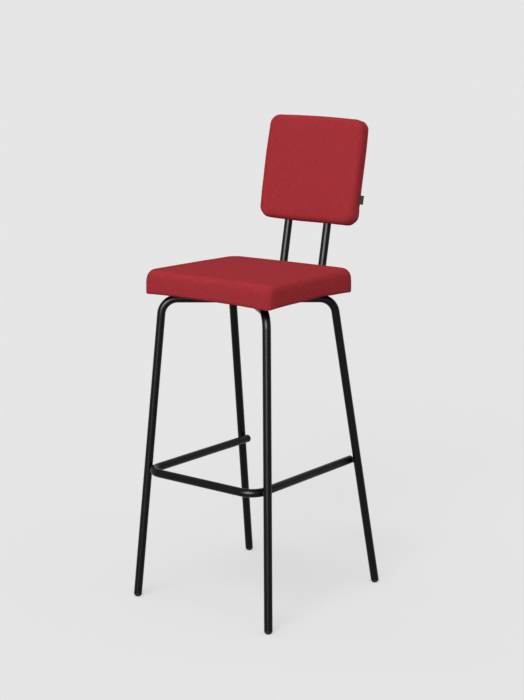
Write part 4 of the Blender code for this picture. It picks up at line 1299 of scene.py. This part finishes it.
def build_seat_fasteners():
    """Button-head screws with hexagon sockets, and their washers, under the seat tabs."""
    seat = SEAT_WASHER_THICKNESS + 2 * FIT_GAP
    top = seat + SEAT_SCREW_HEAD_HEIGHT
    tip = TAB_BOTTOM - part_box("seat_screw_front_left")[1].z
    rise = top - seat - SEAT_SCREW_EDGE
    dome = [
        (SEAT_SCREW_HEAD_RADIUS * cos(angle), seat + SEAT_SCREW_EDGE + rise * sin(angle))
        for angle in SEAT_SCREW_DOME_ANGLES]
    profile = [(0.0, top)] + dome[::-1] + [
        (SEAT_SCREW_HEAD_RADIUS, seat), (SEAT_SCREW_RADIUS, seat), (SEAT_SCREW_RADIUS, tip), (0.0, tip)]
    screw = turned("seat_screw_shape", profile, Matrix())
    key = bmesh.new()
    bmesh.ops.create_cone(
        key, cap_ends=True, segments=6, radius1=SEAT_SCREW_SOCKET_RADIUS,
        radius2=SEAT_SCREW_SOCKET_RADIUS, depth=2 * SEAT_SCREW_SOCKET_DEPTH,
        matrix=Matrix.Translation((0, 0, top)))
    screw = cut_away(screw, from_shape("hexagon_key", key))
    screw.data.set_sharp_from_angle(angle=SMALL_SHARP_ANGLE)
    bore = SEAT_SCREW_RADIUS + FIT_GAP
    chamfer = SEAT_WASHER_THICKNESS / 5
    low, high = FIT_GAP, FIT_GAP + SEAT_WASHER_THICKNESS
    ring = [
        (bore, high), (SEAT_WASHER_RADIUS - chamfer, high), (SEAT_WASHER_RADIUS, high - chamfer),
        (SEAT_WASHER_RADIUS, low), (bore, low), (bore, high)]
    washer = turned("seat_washer_shape", ring, Matrix())
    spots = [(seat_screw_place(x, y), -UP, Vector((x, y, 0))) for _, x, y in CORNERS]
    for name, node, shape in (
            ("seat_screws", "seat_screw", screw), ("seat_washers", "seat_washer", washer)):
        made = set_shapes(name, shape, spots, SEAT_SCREW_TWIST, FINISHES["zinc_steel"])
        dress(made, "zinc_steel", *[f"{node}_{corner}" for corner, _, _ in CORNERS])


def build_dust_cloth():
    """Thin black cloth stretched under the seat, with its hem turned in and a screw hole at each tab."""
    half_x = SEAT_HALF_WIDTH - DUST_CLOTH_INSET
    half_y = SEAT_HALF_DEPTH - DUST_CLOTH_INSET
    middle = Vector((0, SEAT_MIDDLE_REACH + SHIFT, SEAT_BOTTOM - FIT_GAP))
    shape = bmesh.new()
    bmesh.ops.create_grid(shape, x_segments=60, y_segments=56, size=1.0)
    for vert in shape.verts:
        x, y = vert.co.x * half_x, vert.co.y * half_y
        inset = min(half_x - abs(x), half_y - abs(y))
        side_x, side_y = round_off(half_x - abs(x), half_y - abs(y), DUST_CLOTH_CORNER_RADIUS)
        hem = ease((DUST_CLOTH_HEM - inset) / HEM_EDGE)
        wrinkle = noise.noise(Vector((x * WRINKLES_PER_METRE, y * WRINKLES_PER_METRE, 0))) * (1 - hem)
        vert.co = middle + Vector((
            (half_x - side_x) * side_of(x), (half_y - side_y) * side_of(y),
            -DUST_CLOTH_THICKNESS * (REST_SHARE + HEM_SHARE * hem + WRINKLE_SHARE * abs(wrinkle))))
    bmesh.ops.recalc_face_normals(shape, faces=shape.faces)
    piece = thicken(from_shape("dust_cloth_sheet", shape), DUST_CLOTH_THICKNESS, 0)
    screw_places = [seat_screw_place(*sides) for _, *sides in CORNERS]
    runs = [
        [place, place + UP * (SEAT_BOTTOM - TAB_BOTTOM + TAB_THICKNESS)] for place in screw_places]
    piece = cut_away(piece, swept("screw_holes", runs, SEAT_SCREW_RADIUS + 2 * FIT_GAP, True))
    soften(piece, SMALL_SHARP_ANGLE)
    dress(piece, "dust_cloth", "seat_dust_cloth")


def build_staples():
    """Wire staples round the dust cloth's hem."""
    half = STAPLE_LENGTH / 2
    leg = 3 * STAPLE_WIRE_RADIUS
    path = [(-half, 0, -leg), (-half, 0, 0), (half, 0, 0), (half, 0, -leg)]
    shape = bars("staple_shape", [path], STAPLE_WIRE_RADIUS, STAPLE_BEVEL_RESOLUTION, True)
    half_x = SEAT_HALF_WIDTH - DUST_CLOTH_INSET - STAPLE_INSET
    half_y = SEAT_HALF_DEPTH - DUST_CLOTH_INSET - STAPLE_INSET
    height = SEAT_BOTTOM - FIT_GAP - DUST_CLOTH_THICKNESS
    spots = []
    for half_run, half_other, run, other in (
            (half_x, half_y, Vector((1, 0, 0)), Vector((0, 1, 0))),
            (half_y, half_x, Vector((0, 1, 0)), Vector((1, 0, 0)))):
        count = round(2 * half_run / STAPLE_PITCH)
        for side in (-1, 1):
            for step in range(count):
                reach = half_run * (2 * (step + 0.5) / count - 1)
                place = run * reach + other * (side * half_other)
                spots.append((place + Vector((0, SEAT_MIDDLE_REACH + SHIFT, height)), -UP, run))
    staples = set_shapes(
        "dust_cloth_staples", shape, spots, STAPLE_TWIST, FINISHES["zinc_steel"])
    dress(staples, "zinc_steel")


def build_tape_tab():
    """A bare tape folded double and sewn into the side seam, with a row of stitches on each face."""
    root = -TAPE_TAB_ROOT
    tip = TAPE_TAB_REACH - TAPE_FOLD_RADIUS
    bulge = TAPE_FOLD_RADIUS * TAPE_BULGE
    outline = [(root, -TAPE_FOLD_RADIUS), (tip * 0.5, -bulge)]
    outline += [
        (tip + TAPE_FOLD_RADIUS * cos(angle), TAPE_FOLD_RADIUS * sin(angle))
        for angle in TAPE_FOLD_ANGLES]
    outline += [(tip * 0.5, bulge), (root, TAPE_FOLD_RADIUS)]
    shape = bmesh.new()
    rows = []
    for step in range(TAPE_ROWS + 1):
        along = TAPE_TAB_HEIGHT * (step / TAPE_ROWS - 0.5)
        selvedge = 1 + SELVEDGE_SHARE * bump_at(TAPE_TAB_HEIGHT / 2 - abs(along), SELVEDGE_REACH)
        rows.append([
            shape.verts.new((x, along, z * selvedge - TAPE_CURL * max(x, 0) / TAPE_TAB_REACH))
            for x, z in outline])
    for row, after in zip(rows, rows[1:]):
        for index in range(len(outline) - 1):
            shape.faces.new((row[index], row[index + 1], after[index + 1], after[index]))
    placed = back_frame() @ Matrix.Translation(
        (BACK_HALF_WIDTH + TAPE_TAB_SHIFT, TAPE_TAB_MIDDLE, -BACK_SEAM_BEHIND_MIDDLE))
    piece = thicken(from_shape("seam_tape_tab", shape), TAPE_THICKNESS, -1)
    piece.data.transform(placed)
    soften(piece, TUBE_SHARP_ANGLE)
    dress(piece, "dark_tape", "back_seam_tab")
    thread = turned("stitch_shape", [
        (0.0, STITCH_LENGTH / 2), (STITCH_RADIUS, STITCH_LENGTH / 4),
        (STITCH_RADIUS, -STITCH_LENGTH / 4), (0.0, -STITCH_LENGTH / 2)], Matrix())
    spots = []
    count = int(TAPE_TAB_HEIGHT / STITCH_PITCH)
    for side in (-1, 1):
        face = side * (bulge + STITCH_RADIUS)
        for step in range(count):
            along = (step + 0.5 - count / 2) * STITCH_PITCH
            place = placed @ Vector((TAPE_TAB_REACH * STITCH_ROW_SHARE, along, face - STITCH_ROW_CURL))
            spots.append((place, POST_UP, Vector((1, 0, 0))))
    stitches = set_shapes("seam_tape_stitches", thread, spots, 0.0, THREAD)
    dress(stitches, "dark_tape", finish=THREAD)


def saddle_run(start, direction, main):
    """The closed line where a tube from start meets the side of a main tube of the same radius."""
    slope = direction.angle(main)
    beside = (direction - main * cos(slope)).normalized()
    level = cos(slope) * beside - sin(slope) * main
    side = main.cross(beside)
    radius = TUBE_RADIUS + SADDLE_BEAD_PROUD * SADDLE_BEAD_RADIUS
    points = []
    for step in range(SADDLE_STEPS):
        turn = 2 * pi * step / SADDLE_STEPS
        reach = radius * (abs(cos(turn)) - cos(turn) * cos(slope)) / sin(slope)
        points.append(start + direction * reach + radius * (cos(turn) * level + sin(turn) * side))
    return points, True


def ring_run(middle, axis):
    """A ring in the groove round the place where an upright and a level tube touch."""
    side = axis.cross(UP).normalized()
    above = side.cross(axis)
    points = []
    for step in range(RING_STEPS):
        along = TOUCH_RING_RADIUS * cos(2 * pi * step / RING_STEPS)
        up = TOUCH_RING_RADIUS * sin(2 * pi * step / RING_STEPS)
        groove = sqrt(TUBE_RADIUS ** 2 - along ** 2) - sqrt(TUBE_RADIUS ** 2 - up ** 2)
        points.append(middle + along * side + up * above + axis * (groove / 2))
    return points, True


def build_weld_beads():
    """Powder-coated beads at the crossing, the posts, the footrest and the seat tabs."""
    saddles = [
        saddle_run(CROSSING, (top_corner(x, y) - CROSSING).normalized(), diagonal(1))
        for x, y in ((1, -1), (-1, 1))]
    saddles += [
        saddle_run(post_start(side), Vector((0, 1, 0)), diagonal(side)) for _, side in LEFT_RIGHT]
    touches = []
    for _, side_x, side_y in CORNERS:
        leg = leg_point_at(side_x, side_y, FOOTREST_HEIGHT)
        inward = Vector((-side_x, 0, 0))
        if side_y < 0:
            corner = footrest_corners()[2 if side_x > 0 else 1]
            bend_middle = corner + Vector((-side_x * BEND_RADIUS, BEND_RADIUS, 0))
            inward = (bend_middle - leg).normalized()
        touches.append(ring_run(leg + inward * (TUBE_RADIUS + FIT_GAP / 2), inward))
    drop = TUBE_RADIUS - sqrt(TUBE_RADIUS ** 2 - TAB_BEAD_OFFSET ** 2)
    lines = []
    for _, side_x, side_y in CORNERS:
        placed = tab_frame(side_x, side_y)
        for side in (-1, 1):
            ends = [
                placed @ Vector((
                    end * TAB_LENGTH * TAB_BEAD_SHARE, side * TAB_BEAD_OFFSET, -TAB_BEAD_SINK * drop))
                for end in (-1, 1)]
            lines.append((ends, False))
    tree = bead_tree()
    for name, runs, radius in (
            ("saddle_weld_beads", saddles, SADDLE_BEAD_RADIUS),
            ("footrest_weld_beads", touches, TOUCH_BEAD_RADIUS),
            ("tab_weld_beads", lines, TAB_BEAD_RADIUS)):
        points, edges = [], []
        for run, closed in runs:
            first = len(points)
            points += run
            edges += [(index, index + 1) for index in range(first, len(points) - 1)]
            if closed:
                edges.append((len(points) - 1, first))
        beads = grown(name, from_points(name, points, edges), tree, {
            "Bead radius": radius, "Pitch": radius * BEAD_PITCH_SHARE,
            "Finish": FINISHES["powder_coat"]})
        dress(beads, "powder_coat")


def finish_carried_nodes():
    """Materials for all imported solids; those that a piece replaces go later."""
    slots = {row["node"]: row["material_slot"] for row in frame["record"]["subparts"]}
    for name, node in frame["nodes"].items():
        node.data.materials.clear()
        node.data.materials.append(FINISHES[slots[name]])


bpy.context.scene.view_settings.view_transform = "Standard"
build_camera()
build_floor()
build_lights()
finish_carried_nodes()
build_leg_loops()
build_glides()
build_footrest()
build_posts()
build_seat()
build_back()
build_tape_tab()
build_dust_cloth()
build_staples()
build_seat_fasteners()
build_weld_beads()
